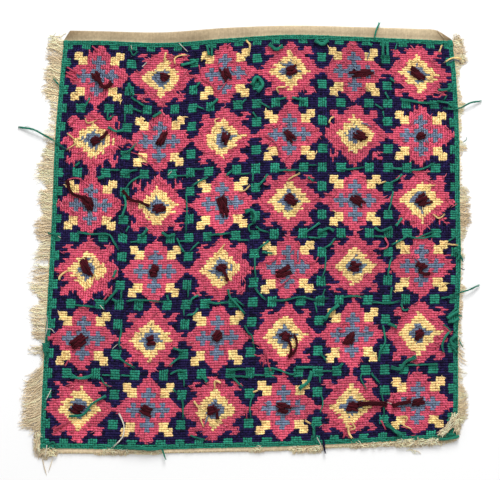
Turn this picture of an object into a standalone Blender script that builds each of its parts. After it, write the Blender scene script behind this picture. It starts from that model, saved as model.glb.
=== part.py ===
"""Needlepoint panel: a square of worked canvas that lies flat with its wrong side up.

The panel is one cloth: the stitched field, bare canvas margins and a folded hem strip along the
top. Its left, right and bottom edges are ravelled into locks, which stand on narrow strips of
canvas. Loose ends of yarn lie on the cloth. Metres, +Z up, underside on z = 0, origin at the
middle of the stitched field; +Y is towards the hem strip.
"""
import math
import random

import bmesh
import bpy
from mathutils import Vector

MM = 0.001

# The stitch count: six squares of one motif each way, inside a border band.
REPEAT = 28
MOTIFS = 6
BAND = 2
STITCHES = MOTIFS * REPEAT + 2 * BAND
POINT_STEP = 4              # stitches between the points of the panel's face

# Thicknesses.
WORKED_THICK = 2.6 * MM     # canvas and the wool on both of its sides
BAND_RISE = 0.4 * MM        # the border's stitches stand a little above the field
CANVAS_THICK = 1.0 * MM
HEM_THICK = 2.1 * MM        # two layers of canvas
CREASE_THICK = 1.2 * MM     # where bare canvas meets the stitches
PUCKER = 0.3 * MM           # how uneven the field is
PUCKER_LENGTH = 31 * MM

# Bare canvas beyond the border.
LEFT_MARGIN = 1.5 * MM
RIGHT_MARGIN = 0.7 * MM
HEM_END = 0.4 * MM          # the hem strip's two ends beyond its last stitch
CREASE_AT = 0.12            # the crease, as a share of the way across a margin

# Corner where the canvas is turned up over the stitches, at the lower right.
TURNED_CORNER = 14          # stitches along each side
TURNED_THICK = 1.6 * MM

GAP = 0.3 * MM
FRINGE_STRIP = 1.6 * MM     # width of the strip that the locks stand on
FRINGE_THICK = 0.9 * MM
LOCK_TIP_THICK = 0.4 * MM
LOCK_TIP_WIDTH = 0.5 * MM
LOCK_SHARE = 0.62           # of an edge's length that the locks' roots take
LOCK_MIN = 1.4 * MM         # where the table gives less than this, no lock stands
LOCK_WAVE = 0.45 * MM
TUFT_SEED = 7

# Knots of cut yarn at the motif centres.
KNOT_STEPS = (
    # inset, rise
    (0.8 * MM, 1.3 * MM),
    (1.5 * MM, 1.2 * MM),
)

# Side edges of the stitched field, in millimetres from its middle, at rows counted in stitches
# from the top: the rows stand wider apart and the panel spreads towards the bottom.
SIDE_EDGES = (
    # row, left_x, left_y, right_x, right_y
    (0, -189.0, 201.5, 199.5, 201.0),
    (16, -192.8, 166.0, 203.1, 167.0),
    (44, -198.0, 101.5, 206.3, 105.7),
    (72, -200.7, 37.2, 207.0, 41.0),
    (100, -203.9, -27.6, 208.0, -23.8),
    (128, -208.0, -96.2, 205.3, -90.7),
    (156, -211.7, -166.3, 205.2, -161.2),
    (172, -213.2, -206.8, 203.0, -196.5),
)
# Top and bottom edges of the stitched field, at columns counted in stitches from the left.
END_EDGES = (
    # column, top_x, top_y, bottom_x, bottom_y
    (0, -189.0, 201.5, -213.2, -206.8),
    (16, -152.2, 201.4, -175.4, -206.8),
    (44, -88.0, 199.2, -107.2, -208.0),
    (72, -27.6, 203.6, -39.8, -206.2),
    (100, 36.4, 207.4, 28.2, -204.6),
    (128, 99.4, 205.5, 96.0, -201.6),
    (156, 163.0, 202.8, 162.6, -198.2),
    (172, 199.5, 201.0, 203.0, -196.5),
)
# Outer edge of the hem strip, and the width of the bare margin at the bottom.
HEM_AND_FOOT = (
    # column, hem_x, hem_y, foot
    (0, -182.5, 211.5, 3.0),
    (16, -155.0, 211.0, 3.2),
    (44, -90.0, 209.8, 2.0),
    (72, -28.0, 214.2, 2.6),
    (100, 37.0, 216.5, 2.6),
    (128, 101.0, 215.2, 1.4),
    (156, 165.0, 213.2, 1.0),
    (165, 183.0, 212.0, 1.0),
    (172, 196.0, 204.5, 1.0),
)
# How far the locks reach out of each ravelled edge, and how far their tips drift along it,
# in millimetres. Rows count stitches down an edge, columns count them along the bottom.
LEFT_LOCKS = (
    # row, reach, drift
    (0, 13.0, -3.0), (10, 13.0, -3.0), (11.5, 8.0, -3.0), (14, 13.0, -3.0), (19, 14.5, -3.0),
    (24, 14.5, -3.0), (28, 10.0, -3.0), (31, 5.5, -2.0), (42, 5.0, -2.0), (44, 10.0, -2.0),
    (52, 11.0, -2.0), (54, 8.5, -3.0), (57, 14.5, -3.0), (63, 14.5, -3.0), (65, 3.0, -2.0),
    (68, 3.0, -1.0), (70, 14.0, -1.0), (83, 14.0, -1.0), (85, 16.0, 0.0), (90, 16.0, 0.0),
    (91.5, 4.0, 0.0), (93, 16.0, 0.0), (107, 17.5, 0.0), (108.5, 4.0, 0.0), (110.5, 17.5, 0.0),
    (128, 17.5, 1.0), (133, 14.0, 2.0), (137, 14.0, 2.0), (138.5, 5.0, 2.0), (141, 5.0, 3.0),
    (143, 15.0, 12.0), (149, 15.0, 12.0), (151, 16.0, 8.0), (164, 16.0, 8.0), (166, 4.6, 4.0),
    (170, 4.6, 4.0), (172, 6.0, 6.0),
)
RIGHT_LOCKS = (
    # row, reach, drift
    (0, 11.0, -6.0), (5, 10.0, -2.0), (10, 9.0, 1.0), (14, 3.0, 0.0), (19, 2.5, 0.0),
    (22, 1.0, 0.0), (25, 5.5, 1.0), (28, 3.0, 1.0), (30, 9.0, 2.0), (33, 9.0, 2.0),
    (35, 1.0, 0.0), (46, 1.0, 0.0), (48, 6.0, 1.0), (50, 6.0, 1.0), (52, 1.0, 0.0),
    (66, 1.0, 0.0), (69, 10.0, -1.0), (84, 9.5, 2.0), (88, 1.0, 0.0), (107, 1.0, 0.0),
    (109, 9.0, 1.0), (111, 9.0, 2.0), (113, 1.0, 0.0), (129, 1.0, 0.0), (132, 5.0, 2.0),
    (147, 5.0, 2.0), (150, 8.5, 0.0), (163, 8.5, 1.0), (166, 2.0, 1.0), (172, 1.0, 0.0),
)
BOTTOM_LOCKS = (
    # column, reach, drift
    (0, 6.0, -4.0), (5, 4.0, -1.0), (8, 1.0, 0.0), (23, 1.0, 0.0), (26, 1.8, 1.0),
    (38, 1.6, 1.0), (41, 1.0, 0.0), (88, 1.0, 0.0), (92, 1.8, 1.0), (96, 1.0, 0.0),
    (106, 1.0, 0.0), (109, 6.0, 1.0), (120, 6.0, -1.0), (123, 2.0, 0.0), (130, 4.0, 1.0),
    (148, 5.0, 1.0), (156, 6.0, -1.0), (165, 6.0, -2.0), (169, 3.0, -1.0), (172, 1.0, 0.0),
)
# The number of places for locks along each edge, and the lengths that each lock is drawn in.
LEFT_PLACES, LEFT_STEPS = 104, 3
RIGHT_PLACES, RIGHT_STEPS = 66, 2
BOTTOM_PLACES, BOTTOM_STEPS = 66, 2

# Length of each knot beside its width, and the turn of its long side from the X axis, by motif.
KNOT_STRETCH = (
    (1.7, 1.0, 1.2, 1.1, 1.5, 1.6),
    (1.6, 1.3, 1.1, 1.3, 1.3, 1.0),
    (1.3, 1.1, 1.3, 1.4, 1.3, 1.4),
    (1.5, 1.1, 1.5, 1.4, 1.1, 1.0),
    (1.5, 1.0, 1.2, 1.5, 1.5, 1.0),
    (1.2, 1.2, 1.5, 1.2, 1.1, 1.0),
)
KNOT_TURN_DEG = (
    (-50, 0, 90, 20, -15, -40),
    (25, -50, 0, 60, 30, 20),
    (60, 10, -60, 20, 20, 50),
    (-60, 40, -50, 60, 0, 10),
    (35, 0, 60, 60, 50, 30),
    (10, 20, -70, 60, 0, 0),
)

# Loose ends of yarn: a name, a colour, a radius in millimetres, the height of the middle of the
# yarn at its two ends, and the points it lies along, in millimetres from the field's middle.
YARN_ENDS = (
    # name, colour, radius, lift_first, lift_last, route
    ("yarn_red_a", "maroon", 1.7, 0.0, 0.0, ((-186, 62), (-181, 49), (-170, 45), (-166, 44))),
    ("yarn_red_b", "maroon", 1.7, 0.0, 0.0, ((-130, 52), (-123, 43), (-113, 40), (-103, 36))),
    ("yarn_red_c", "maroon", 2.0, 0.0, 0.0, ((105, -162), (118, -161), (134, -161.5))),
    ("yarn_red_d", "maroon", 1.8, 0.0, 0.0, ((139, -163), (148, -161), (158, -159.5))),
    ("yarn_red_e", "maroon", 1.5, 0.0, 0.0, ((110, 170), (115, 169), (121, 169))),
    ("yarn_red_f", "maroon", 1.4, 0.0, 0.0, ((41, -92), (44, -100), (42, -109), (35, -115))),
    ("yarn_green_a", "green", 1.0, -2.2, 0.0, ((-235, 115), (-221, 113), (-205, 105), (-187, 93))),
    ("yarn_green_b", "green", 0.9, -2.2, 0.0, ((229, 141), (218, 139), (204, 133), (190, 134))),
    ("yarn_green_c", "green", 1.4, 0.0, 0.0, ((-147, -154), (-161, -162), (-170, -173), (-184, -174))),
    ("yarn_green_d", "green", 0.9, -1.6, 0.0, ((127, 220), (123, 211), (121, 201))),
    ("yarn_green_e", "green", 0.9, -2.2, 0.0, ((227, -43), (213, -49), (200, -52))),
    ("yarn_gold", "gold", 0.9, -0.9, 0.0, ((209, 183), (200, 184), (192, 180))),
    ("yarn_white", "white", 0.7, 0.0, 0.0, ((-134, -171), (-129, -184), (-131, -196), (-141, -206))),
    ("yarn_navy", "navy", 1.0, 0.0, -1.4, ((69, -189), (71, -200), (72, -210))),
)
YARN_CLEAR = 0.5 * MM       # from the cloth's face to the underside of a loose end
YARN_POINTS = 9

COLOURS = {
    # name: base colour, roughness
    "worked": ((0.45, 0.06, 0.12, 1.0), 0.9),
    "canvas": ((0.52, 0.41, 0.26, 1.0), 0.95),
    "maroon": ((0.07, 0.004, 0.010, 1.0), 0.9),
    "green": ((0.02, 0.26, 0.13, 1.0), 0.9),
    "gold": ((0.80, 0.58, 0.17, 1.0), 0.9),
    "white": ((0.78, 0.74, 0.64, 1.0), 0.9),
    "navy": ((0.012, 0.009, 0.05, 1.0), 0.9),
}


def table_value(rows, station, column):
    """A column's value at a station between the rows, on a smooth curve through them."""
    last = len(rows) - 1
    station = min(max(station, rows[0][0]), rows[last][0])
    index = 0
    while index < last - 1 and station > rows[index + 1][0]:
        index += 1

    def slope(at):
        low, high = rows[max(at - 1, 0)], rows[min(at + 1, last)]
        return (high[column] - low[column]) / (high[0] - low[0])

    start, end = rows[index], rows[index + 1]
    span = end[0] - start[0]
    f = (station - start[0]) / span
    return ((2 * f**3 - 3 * f**2 + 1) * start[column] + (f**3 - 2 * f**2 + f) * span * slope(index)
            + (3 * f**2 - 2 * f**3) * end[column] + (f**3 - f**2) * span * slope(index + 1))


def table_point(rows, station, column):
    """The point that two neighbouring columns give, in metres."""
    return Vector((table_value(rows, station, column), table_value(rows, station, column + 1))) * MM


def on_field(column, row):
    """Place of a stitch in the field, spread between the four edges."""
    across, down = column / STITCHES, row / STITCHES
    top, bottom = table_point(END_EDGES, column, 1), table_point(END_EDGES, column, 3)
    left, right = table_point(SIDE_EDGES, row, 1), table_point(SIDE_EDGES, row, 3)
    first, last = SIDE_EDGES[0], SIDE_EDGES[-1]
    corners = ((1 - across) * (1 - down) * Vector(first[1:3]) + across * (1 - down) * Vector(first[3:5])
               + (1 - across) * down * Vector(last[1:3]) + across * down * Vector(last[3:5])) * MM
    return (1 - down) * top + down * bottom + (1 - across) * left + across * right - corners


def on_cloth(column, row):
    """Place of any point of the cloth; a margin is one unit wide, outside 0 to STITCHES."""
    inside_column = min(max(column, 0), STITCHES)
    place = on_field(inside_column, min(max(row, 0), STITCHES))
    if row < 0:
        place = place.lerp(table_point(HEM_AND_FOOT, inside_column, 1), -row)
    if row > STITCHES:
        place.y -= (row - STITCHES) * table_value(HEM_AND_FOOT, inside_column, 3) * MM
    if column < 0:
        place.x += column * (HEM_END if row < 0 else LEFT_MARGIN)
    if column > STITCHES:
        place.x += (column - STITCHES) * (HEM_END if row < 0 else RIGHT_MARGIN)
    return place


def pucker(place):
    """The field's slight unevenness: slow waves that cross each other."""
    x, y = place.x / PUCKER_LENGTH, place.y / PUCKER_LENGTH
    waves = math.sin(1.3 * x + 0.7 * y) + math.sin(0.9 * y - 1.7 * x + 1.0) + math.sin(2.3 * y + 0.4 * x)
    return PUCKER * waves / 3


def cloth_height(column, row):
    """Height of the cloth's upper face above what it lies on."""
    place = on_cloth(column, row)
    if row < 0:
        hem = HEM_THICK if row < -CREASE_AT else CREASE_THICK
        return hem + pucker(place) / 2
    if column < 0 or column > STITCHES or row > STITCHES:
        at_crease = STITCHES < row < STITCHES + 2 * CREASE_AT and 0 <= column <= STITCHES
        return CREASE_THICK if at_crease else CANVAS_THICK
    height = WORKED_THICK + pucker(place)
    if min(column, row, STITCHES - column, STITCHES - row) <= BAND:
        height += BAND_RISE
    if (STITCHES - column) + (STITCHES - row) < TURNED_CORNER:
        height += TURNED_THICK
    return height


def stitch_lines():
    """The lines that the panel's points stand on: the band's two edges, then an even step."""
    lines = [0.0]
    while lines[-1] < STITCHES - BAND:
        lines.append(lines[-1] + (BAND if lines[-1] == 0 else POINT_STEP))
    return lines + [float(STITCHES)]


def make_material(name):
    colour, roughness = COLOURS[name]
    material = bpy.data.materials.new(name + " finish")
    material.use_nodes = True
    shader = material.node_tree.nodes["Principled BSDF"]
    shader.inputs["Base Color"].default_value = colour
    shader.inputs["Roughness"].default_value = roughness
    shader.inputs["Metallic"].default_value = 0.0
    return material


def add_object(name, mesh, finish, collection):
    mesh.materials.append(make_material(finish))
    piece = bpy.data.objects.new(name, mesh)
    collection.objects.link(piece)
    return piece


def mesh_from(bm, name):
    bmesh.ops.recalc_face_normals(bm, faces=bm.faces)
    mesh = bpy.data.meshes.new(name)
    bm.to_mesh(mesh)
    bm.free()
    return mesh


def laid_grid(columns, rows, place):
    """A sheet of faces whose points stand where place(column, row) says."""
    bm = bmesh.new()
    bmesh.ops.create_grid(bm, x_segments=len(columns) - 1, y_segments=len(rows) - 1, size=0.5)
    for point in bm.verts:
        i = round((point.co.x + 0.5) * (len(columns) - 1))
        j = round((point.co.y + 0.5) * (len(rows) - 1))
        point.co = place(columns[i], rows[j])
    return bm


def close_below(bm):
    """Walls down from a sheet's rim to z = 0, and one flat face under it."""
    rim = [edge for edge in bm.edges if edge.is_boundary]
    walls = bmesh.ops.extrude_edge_only(bm, edges=rim)["geom"]
    foot = [item for item in walls if isinstance(item, bmesh.types.BMVert)]
    for point in foot:
        point.co.z = 0.0
    bmesh.ops.holes_fill(bm, edges=[edge for edge in bm.edges if edge.is_boundary], sides=0)


def raise_knot(bm, centre, stretch, turn):
    """Raises the face at a motif's centre into a knot of cut yarn, longer one way."""
    face = min(bm.faces, key=lambda item: (item.calc_center_median().xy - centre).length)
    along = Vector((math.cos(turn), math.sin(turn)))
    for inset, rise in KNOT_STEPS:
        bmesh.ops.inset_individual(bm, faces=[face], thickness=inset)
        middle = face.calc_center_median()
        for point in face.verts:
            arm = point.co.xy - middle.xy
            arm += along * arm.dot(along) * (math.sqrt(stretch) - 1)
            point.co.xy = middle.xy + arm
            point.co.z += rise


def build_panel(collection):
    inner = stitch_lines()
    columns = [-1.0] + inner + [STITCHES + 1.0]
    rows = [-1.0, -0.55, -CREASE_AT] + inner + [STITCHES + CREASE_AT, STITCHES + 1.0]
    bm = laid_grid(columns, rows, lambda c, r: (*on_cloth(c, r), cloth_height(c, r)))
    for row in range(MOTIFS):
        for column in range(MOTIFS):
            centre = on_field(BAND + REPEAT * (column + 0.5), BAND + REPEAT * (row + 0.5))
            raise_knot(bm, centre, KNOT_STRETCH[row][column], math.radians(KNOT_TURN_DEG[row][column]))
    close_below(bm)
    return add_object("panel", mesh_from(bm, "panel"), "worked", collection)


def pull_lock(bm, face, outward, steps, reach, drift, phase):
    """Draws a strip's side face out into one tapering, slightly wavy lock that lies level."""
    root = face.calc_center_median()
    along = Vector((-outward.y, outward.x, 0.0))
    width = max((point.co - root).dot(along) for point in face.verts) * 2
    for step in range(1, steps + 1):
        f = step / steps
        middle = root + outward * reach * f + along * (drift * f**1.5 + LOCK_WAVE * math.sin(phase + 4 * f))
        ahead = (outward * reach + along * drift * 1.5 * f**0.5).normalized()
        across = Vector((-ahead.y, ahead.x, 0.0))
        half_width = (width + (LOCK_TIP_WIDTH - width) * f**2) / 2
        thick = FRINGE_THICK + (LOCK_TIP_THICK - FRINGE_THICK) * f
        face = bmesh.ops.extrude_discrete_faces(bm, faces=[face])["faces"][0]
        start = face.calc_center_median()
        for point in face.verts:
            side = 1 if (point.co - start).dot(along) > 0 else -1
            upper = point.co.z > start.z
            point.co = middle + across * side * half_width
            point.co.z = thick if upper else 0.0


def build_fringe(name, edge, outward, locks, places, steps, collection):
    """A strip of canvas beside an edge, with locks drawn out of its outer side.

    edge(station) gives the cloth's rim. A lock's root and a bare length of strip take turns
    along it.
    """
    chance = random.Random(TUFT_SEED)
    outward = Vector((*outward, 0.0))
    pitch = STITCHES / (places - 1 + LOCK_SHARE)
    stations = [pitch * (step // 2 + LOCK_SHARE * (step % 2)) for step in range(2 * places)]

    def strip_point(station, outer):
        place = edge(station) + outward.xy * (GAP + outer * FRINGE_STRIP)
        return (*place, FRINGE_THICK)

    bm = laid_grid(stations, (0, 1), strip_point)
    close_below(bm)
    bmesh.ops.recalc_face_normals(bm, faces=bm.faces)
    sides = [face for face in bm.faces if face.normal.dot(outward) > 0.5 and len(face.verts) == 4
             and abs(face.normal.z) < 0.1]
    run = edge(STITCHES) - edge(0)
    sides.sort(key=lambda face: face.calc_center_median().xy.dot(run))
    turn = 1 if Vector((-outward.y, outward.x)).dot(run) > 0 else -1
    for index, face in enumerate(sides):
        station = (stations[index] + stations[index + 1]) / 2
        growth = chance.uniform(0.82, 1.14)
        reach = table_value(locks, station, 1) * MM * growth
        drift = turn * table_value(locks, station, 2) * MM * growth**1.5
        phase = 0.6 * station
        if index % 2 == 0 and reach >= LOCK_MIN:
            pull_lock(bm, face, outward, steps, reach, drift, phase)
    return add_object(name, mesh_from(bm, name), "canvas", collection)


def build_yarn(name, finish, radius, lifts, route, collection):
    """A loose end of yarn: a tube along a smooth curve through its route's points."""
    radius *= MM
    guide = [(index, *point) for index, point in enumerate(route)]
    curve = bpy.data.curves.new(name, "CURVE")
    curve.dimensions = "3D"
    curve.bevel_depth = radius
    curve.bevel_resolution = 2
    curve.use_fill_caps = True
    spline = curve.splines.new("POLY")
    spline.points.add(YARN_POINTS - 1)
    for index, point in enumerate(spline.points):
        f = index / (YARN_POINTS - 1)
        place = table_point(guide, f * (len(route) - 1), 1)
        lift = (lifts[0] * max(0.0, 1 - 3 * f) + lifts[1] * max(0.0, 3 * f - 2)) * MM
        point.co = (*place, WORKED_THICK + BAND_RISE + PUCKER + YARN_CLEAR + radius + lift, 1.0)
        point.radius = 1.0 - 0.35 * f
    tube = bpy.data.objects.new(name + " guide", curve)
    collection.objects.link(tube)
    bpy.context.view_layer.update()
    evaluated = tube.evaluated_get(bpy.context.evaluated_depsgraph_get())
    bm = bmesh.new()
    bm.from_mesh(bpy.data.meshes.new_from_object(evaluated))
    bmesh.ops.remove_doubles(bm, verts=bm.verts, dist=0.00001)
    bpy.data.objects.remove(tube)
    return add_object(name, mesh_from(bm, name), finish, collection)


def main():
    for item in list(bpy.data.objects):
        bpy.data.objects.remove(item)
    collection = bpy.data.collections.new("needlepoint panel")
    bpy.context.scene.collection.children.link(collection)
    build_panel(collection)
    build_fringe("fringe_left", lambda row: on_cloth(-1, row), (-1, 0),
                 LEFT_LOCKS, LEFT_PLACES, LEFT_STEPS, collection)
    build_fringe("fringe_right", lambda row: on_cloth(STITCHES + 1, row), (1, 0),
                 RIGHT_LOCKS, RIGHT_PLACES, RIGHT_STEPS, collection)
    build_fringe("fringe_bottom", lambda column: on_cloth(column, STITCHES + 1), (0, -1),
                 BOTTOM_LOCKS, BOTTOM_PLACES, BOTTOM_STEPS, collection)
    for name, finish, radius, lift_first, lift_last, route in YARN_ENDS:
        build_yarn(name, finish, radius, (lift_first, lift_last), route, collection)


main()
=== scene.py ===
"""Needlepoint panel, dressed: wool stitches, knots, loose yarns and ravelled edges on its canvas."""
import math
import random

import bmesh
import bpy
import numpy as np
from mathutils import Matrix, Vector


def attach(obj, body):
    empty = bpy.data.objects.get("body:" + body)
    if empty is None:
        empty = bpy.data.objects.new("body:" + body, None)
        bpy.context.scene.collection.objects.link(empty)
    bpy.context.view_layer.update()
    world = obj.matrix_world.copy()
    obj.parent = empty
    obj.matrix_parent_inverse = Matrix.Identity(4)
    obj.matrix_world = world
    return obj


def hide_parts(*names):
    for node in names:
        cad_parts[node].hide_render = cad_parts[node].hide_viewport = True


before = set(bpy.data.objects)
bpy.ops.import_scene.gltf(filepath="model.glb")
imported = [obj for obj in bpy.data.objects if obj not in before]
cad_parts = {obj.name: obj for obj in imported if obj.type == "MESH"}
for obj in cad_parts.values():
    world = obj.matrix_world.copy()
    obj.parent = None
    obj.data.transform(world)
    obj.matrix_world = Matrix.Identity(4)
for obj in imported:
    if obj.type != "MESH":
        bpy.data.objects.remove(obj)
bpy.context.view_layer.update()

bl_info = {
    "name": "Needlepoint Panel",
    "version": (1, 0, 0),
    "blender": (4, 5, 0),
    "location": "View3D > Sidebar > Needlepoint",
    "description": "Works a cross-stitched wool panel with its knots, loose yarns and ravelled edges",
    "category": "Add Mesh",
}

MM = 0.001

# The stitch count: six squares of one motif each way, inside a border band.
REPEAT = 28
MOTIFS = 6
BAND = 2
STITCHES = MOTIFS * REPEAT + 2 * BAND
GRID_STEP = 2               # the charts change colour every second stitch

# Heights of the cloth's faces above what it lies on.
WORKED_THICK = 2.6 * MM
BAND_RISE = 0.4 * MM
GROUND_TOP = 1.5 * MM
CANVAS_THICK = 1.0 * MM
# Heights across the hem strip, from its outer edge at -1, and across the foot, to its outer edge at 1.
HEM_PROFILE = ((-1.0, 1.3 * MM), (-0.85, 1.95 * MM), (-0.55, 2.1 * MM), (-0.3, 2.0 * MM), (-0.12, 1.2 * MM))
FOOT_PROFILE = ((0.1, 1.2 * MM), (0.45, 1.5 * MM), (0.8, 1.3 * MM), (1.0, 0.7 * MM))
# The foot is drawn browner towards its outer edge: painted shade along the cloth's lower edge.
FOOT_PAINTED_SHADE = ((0.45, 0.8, 1.0), (0.2, 0.55, 0.8))   # places across the foot, and how brown it is there
HEM_INNER = 0.7             # place across the hem strip beyond which its outer edge's soiling and painted shade hold
PUCKER = 0.3 * MM
PUCKER_LENGTH = 31 * MM

BARE, GROUND, NEAT = range(3)   # the canvas's materials: bare margins, under the stitches, the side below

# Bare canvas beyond the border.
LEFT_MARGIN = 1.2 * MM
RIGHT_MARGIN = 0.7 * MM
HEM_END = 0.4 * MM
FOOT_EXTRA = 1.6 * MM       # the foot's own width and the strip that its locks stand on
ROOTS = 1.2                 # how far inside the canvas's edge the threads start, in millimetres
STRIP = 2.2                 # the strip outside the edge that the threads' reach is counted from

# Side edges of the stitched field, in millimetres from its middle, at rows counted in stitches.
SIDE_EDGES = (
    # row, left_x, left_y, right_x, right_y
    (0, -189.0, 201.5, 199.5, 201.0),
    (16, -192.8, 166.0, 203.1, 167.0),
    (44, -198.0, 101.5, 206.3, 105.7),
    (72, -200.7, 37.2, 207.0, 41.0),
    (100, -203.9, -27.6, 208.0, -23.8),
    (128, -208.0, -96.2, 205.3, -90.7),
    (156, -211.7, -166.3, 205.2, -161.2),
    (172, -213.2, -206.8, 203.0, -196.5),
)
# Top and bottom edges of the stitched field, at columns counted in stitches from the left.
END_EDGES = (
    # column, top_x, top_y, bottom_x, bottom_y
    (0, -189.0, 201.5, -213.2, -206.8),
    (16, -152.2, 201.4, -175.4, -206.8),
    (44, -88.0, 199.2, -107.2, -208.0),
    (72, -27.6, 203.6, -39.8, -206.2),
    (100, 36.4, 207.4, 28.2, -204.6),
    (128, 99.4, 205.5, 96.0, -201.6),
    (156, 163.0, 202.8, 162.6, -198.2),
    (172, 199.5, 201.0, 203.0, -196.5),
)
# Outer edge of the hem strip, and the width of the bare margin at the bottom.
HEM_AND_FOOT = (
    # column, hem_x, hem_y, foot
    (0, -182.5, 211.5, 3.0),
    (16, -155.0, 211.0, 3.2),
    (44, -90.0, 209.8, 2.0),
    (72, -28.0, 214.2, 2.6),
    (100, 37.0, 216.5, 2.6),
    (128, 101.0, 215.2, 1.4),
    (156, 165.0, 213.2, 1.0),
    (165, 183.0, 212.0, 1.0),
    (172, 196.0, 204.5, 1.0),
)
# The ravelled threads of each edge: how far they reach, how far their tips drift along the edge,
# how many of them are left, how much they curl and how brown they are.
LEFT_LOCKS = (
    # row, reach, drift, cover, curl, brown
    (0, 11, 0, 1, 1, .1), (3, 13, -3, 1, 1, .1), (7.3, 15, -4, 1, 1.1, .35), (10, 13, -4, 1, 1.1, .2),
    (12, 9, -4, .9, 1, .05), (14.7, 15, -4, 1, 1.1, .35), (16.6, 13.5, -3, 1, 1.1, .15),
    (21.3, 15, -3, 1, 1.2, .35), (23.8, 14, -2, .9, 1.1, .1), (26.7, 8, -2, .7, .9, .05),
    (31, 6, -2, .5, .9, 0), (36, 5, -2, .45, .9, 0), (39.8, 8, -2, .3, 1, 0), (43.2, 10, -1, .35, 1, .3),
    (45.7, 5.5, -1, .6, .8, .2), (48.6, 9, -2, 1, .9, .1), (50.8, 12, -2, 1, 1, .05),
    (52.4, 9, -2, .9, .9, .05), (54.5, 15, -2, .9, 1, .05), (58.8, 15.5, -1, .9, 1, .1),
    (61.3, 9.5, 1, .9, .8, .1), (63.4, 4, 2, .8, .7, .05), (65.5, 2, 0, .6, .7, 0),
    (66.3, 13.5, -2, .9, 1, 0), (71.4, 13.5, -1, 1, 1, .15), (73, 10.5, -1, 1, 1, .15),
    (79, 10, -1, 1, 1, .2), (80.2, 15, 0, 1, .9, .3), (85.3, 15.5, 0, 1, .9, .5), (87.4, 8, 1, 1, .9, .4),
    (89, 12, 1, .3, .8, 0), (91.2, 12, 0, .7, 1, .05), (95.4, 13.5, 0, .6, 1, .05),
    (96.7, 14, 0, .12, 1.2, 0), (98.8, 14, 1, .2, 1, 0), (99.6, 16.5, 0, 1, .8, .25),
    (103, 14.5, 1, 1, .8, .35), (104.2, 3, 1, .6, .8, .05), (105.5, 3, 1, .6, .8, 0),
    (106.1, 17, -1, 1, .9, .1), (109.3, 15, -1, 1, .9, .15), (111.8, 9.5, -1, 1, .9, .15),
    (114.3, 7, -1, .9, .9, .1), (115.2, 14, -1, .7, .9, .05), (119.8, 15, 0, .55, 1, .05),
    (125.3, 14, 0, .55, 1, .05), (126.1, 14.5, 1, 1, .5, .45), (127.8, 13, 1, .9, .5, .4),
    (128.7, 3, 1, .3, .8, 0), (130.8, 4, 1, .3, .8, 0), (131.6, 13, 2, .8, .8, .15),
    (133.7, 13, 2, .7, .8, .1), (134.6, 1.5, 1, .3, .7, 0), (137.5, 1.5, 1, .4, .7, 0),
    (138.4, 8, 9, .9, .9, .1), (140.5, 16, 16, 1, .9, .3), (142.6, 17.5, 13, 1, .9, .1),
    (144.7, 12.5, 11, 1, .9, .1), (147.2, 17.5, 13, 1, 1, .35), (151.4, 18.5, 12, 1, 1, .2),
    (155.6, 18.5, 11, 1, 1, .35), (160.6, 17.5, 9, 1, 1, .3), (162.3, 10, 7, 1, 1, .45),
    (163.8, 3.5, 3, 1, .9, .3), (170.4, 3, 3, 1, .9, .3), (172, 4, 9, 1, .9, .35),
)
RIGHT_LOCKS = (
    # row, reach, drift, cover, curl, brown
    (0, 10.5, -5, .9, 1.5, .2), (2, 11, -3, 1, 1.7, .25), (6.5, 10, -1, 1, 1.7, .35),
    (10, 11, 1, .9, 1.4, .3), (12, 3, 0, .5, 1, 0), (15, 1.5, 0, .4, .8, 0), (22, 1, 0, .25, .6, 0),
    (24, 3, 0, .5, 1, .1), (27.7, 2.5, 0, .5, 1, .1), (28.8, 6, 1, .8, .8, .1), (32.5, 4.5, 1.5, .7, .8, 0),
    (34, .5, 0, .1, .5, 0), (36.5, .8, 1, .6, .4, 0), (42, .5, 0, .3, .5, 0), (46, 1, 0, .2, .6, 0),
    (47.3, 6, .5, .7, 1, 0), (49.8, 5, .5, .7, 1, 0), (50.8, .5, 0, .1, .5, 0), (65, .5, 0, .15, .5, 0),
    (67.5, 7, -3, .7, 1.6, 0), (71, 9, -1, .9, 1.8, .2), (76, 10, 0, .9, 1.9, .45),
    (80, 9.5, 1, .9, 1.9, .5), (84, 7, 3, .8, 1.5, .3), (87.5, 2, 2, .5, .8, .1), (89, .5, 0, .15, .5, 0),
    (94, .5, 0, .2, .5, 0), (95.5, 2.5, 1, .5, 1, 0), (97.5, .5, 0, .15, .5, 0), (107.5, .5, 0, .2, .5, 0),
    (109.5, 6, 1, .7, 1, 0), (111.3, 2, 1, .4, 1, 0), (113, 1.2, .5, .5, .8, .1), (125, 1.2, .5, .5, .8, 0),
    (130, 1.5, 3, .3, .5, 0), (133, 5.5, 9, .35, .5, .05), (142, 5, 8, .35, .5, 0), (146, 2, 2, .4, .7, 0),
    (150, 5, 0, .7, 1.1, 0), (152.5, 7.5, -1, 1, 1.4, .05), (157, 9.5, 0, 1, 1.4, .1),
    (162, 8.5, 1, 1, 1.4, .1), (166, 3, 1, .6, 1, 0), (172, 1, 0, .4, .8, 0),
)
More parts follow.
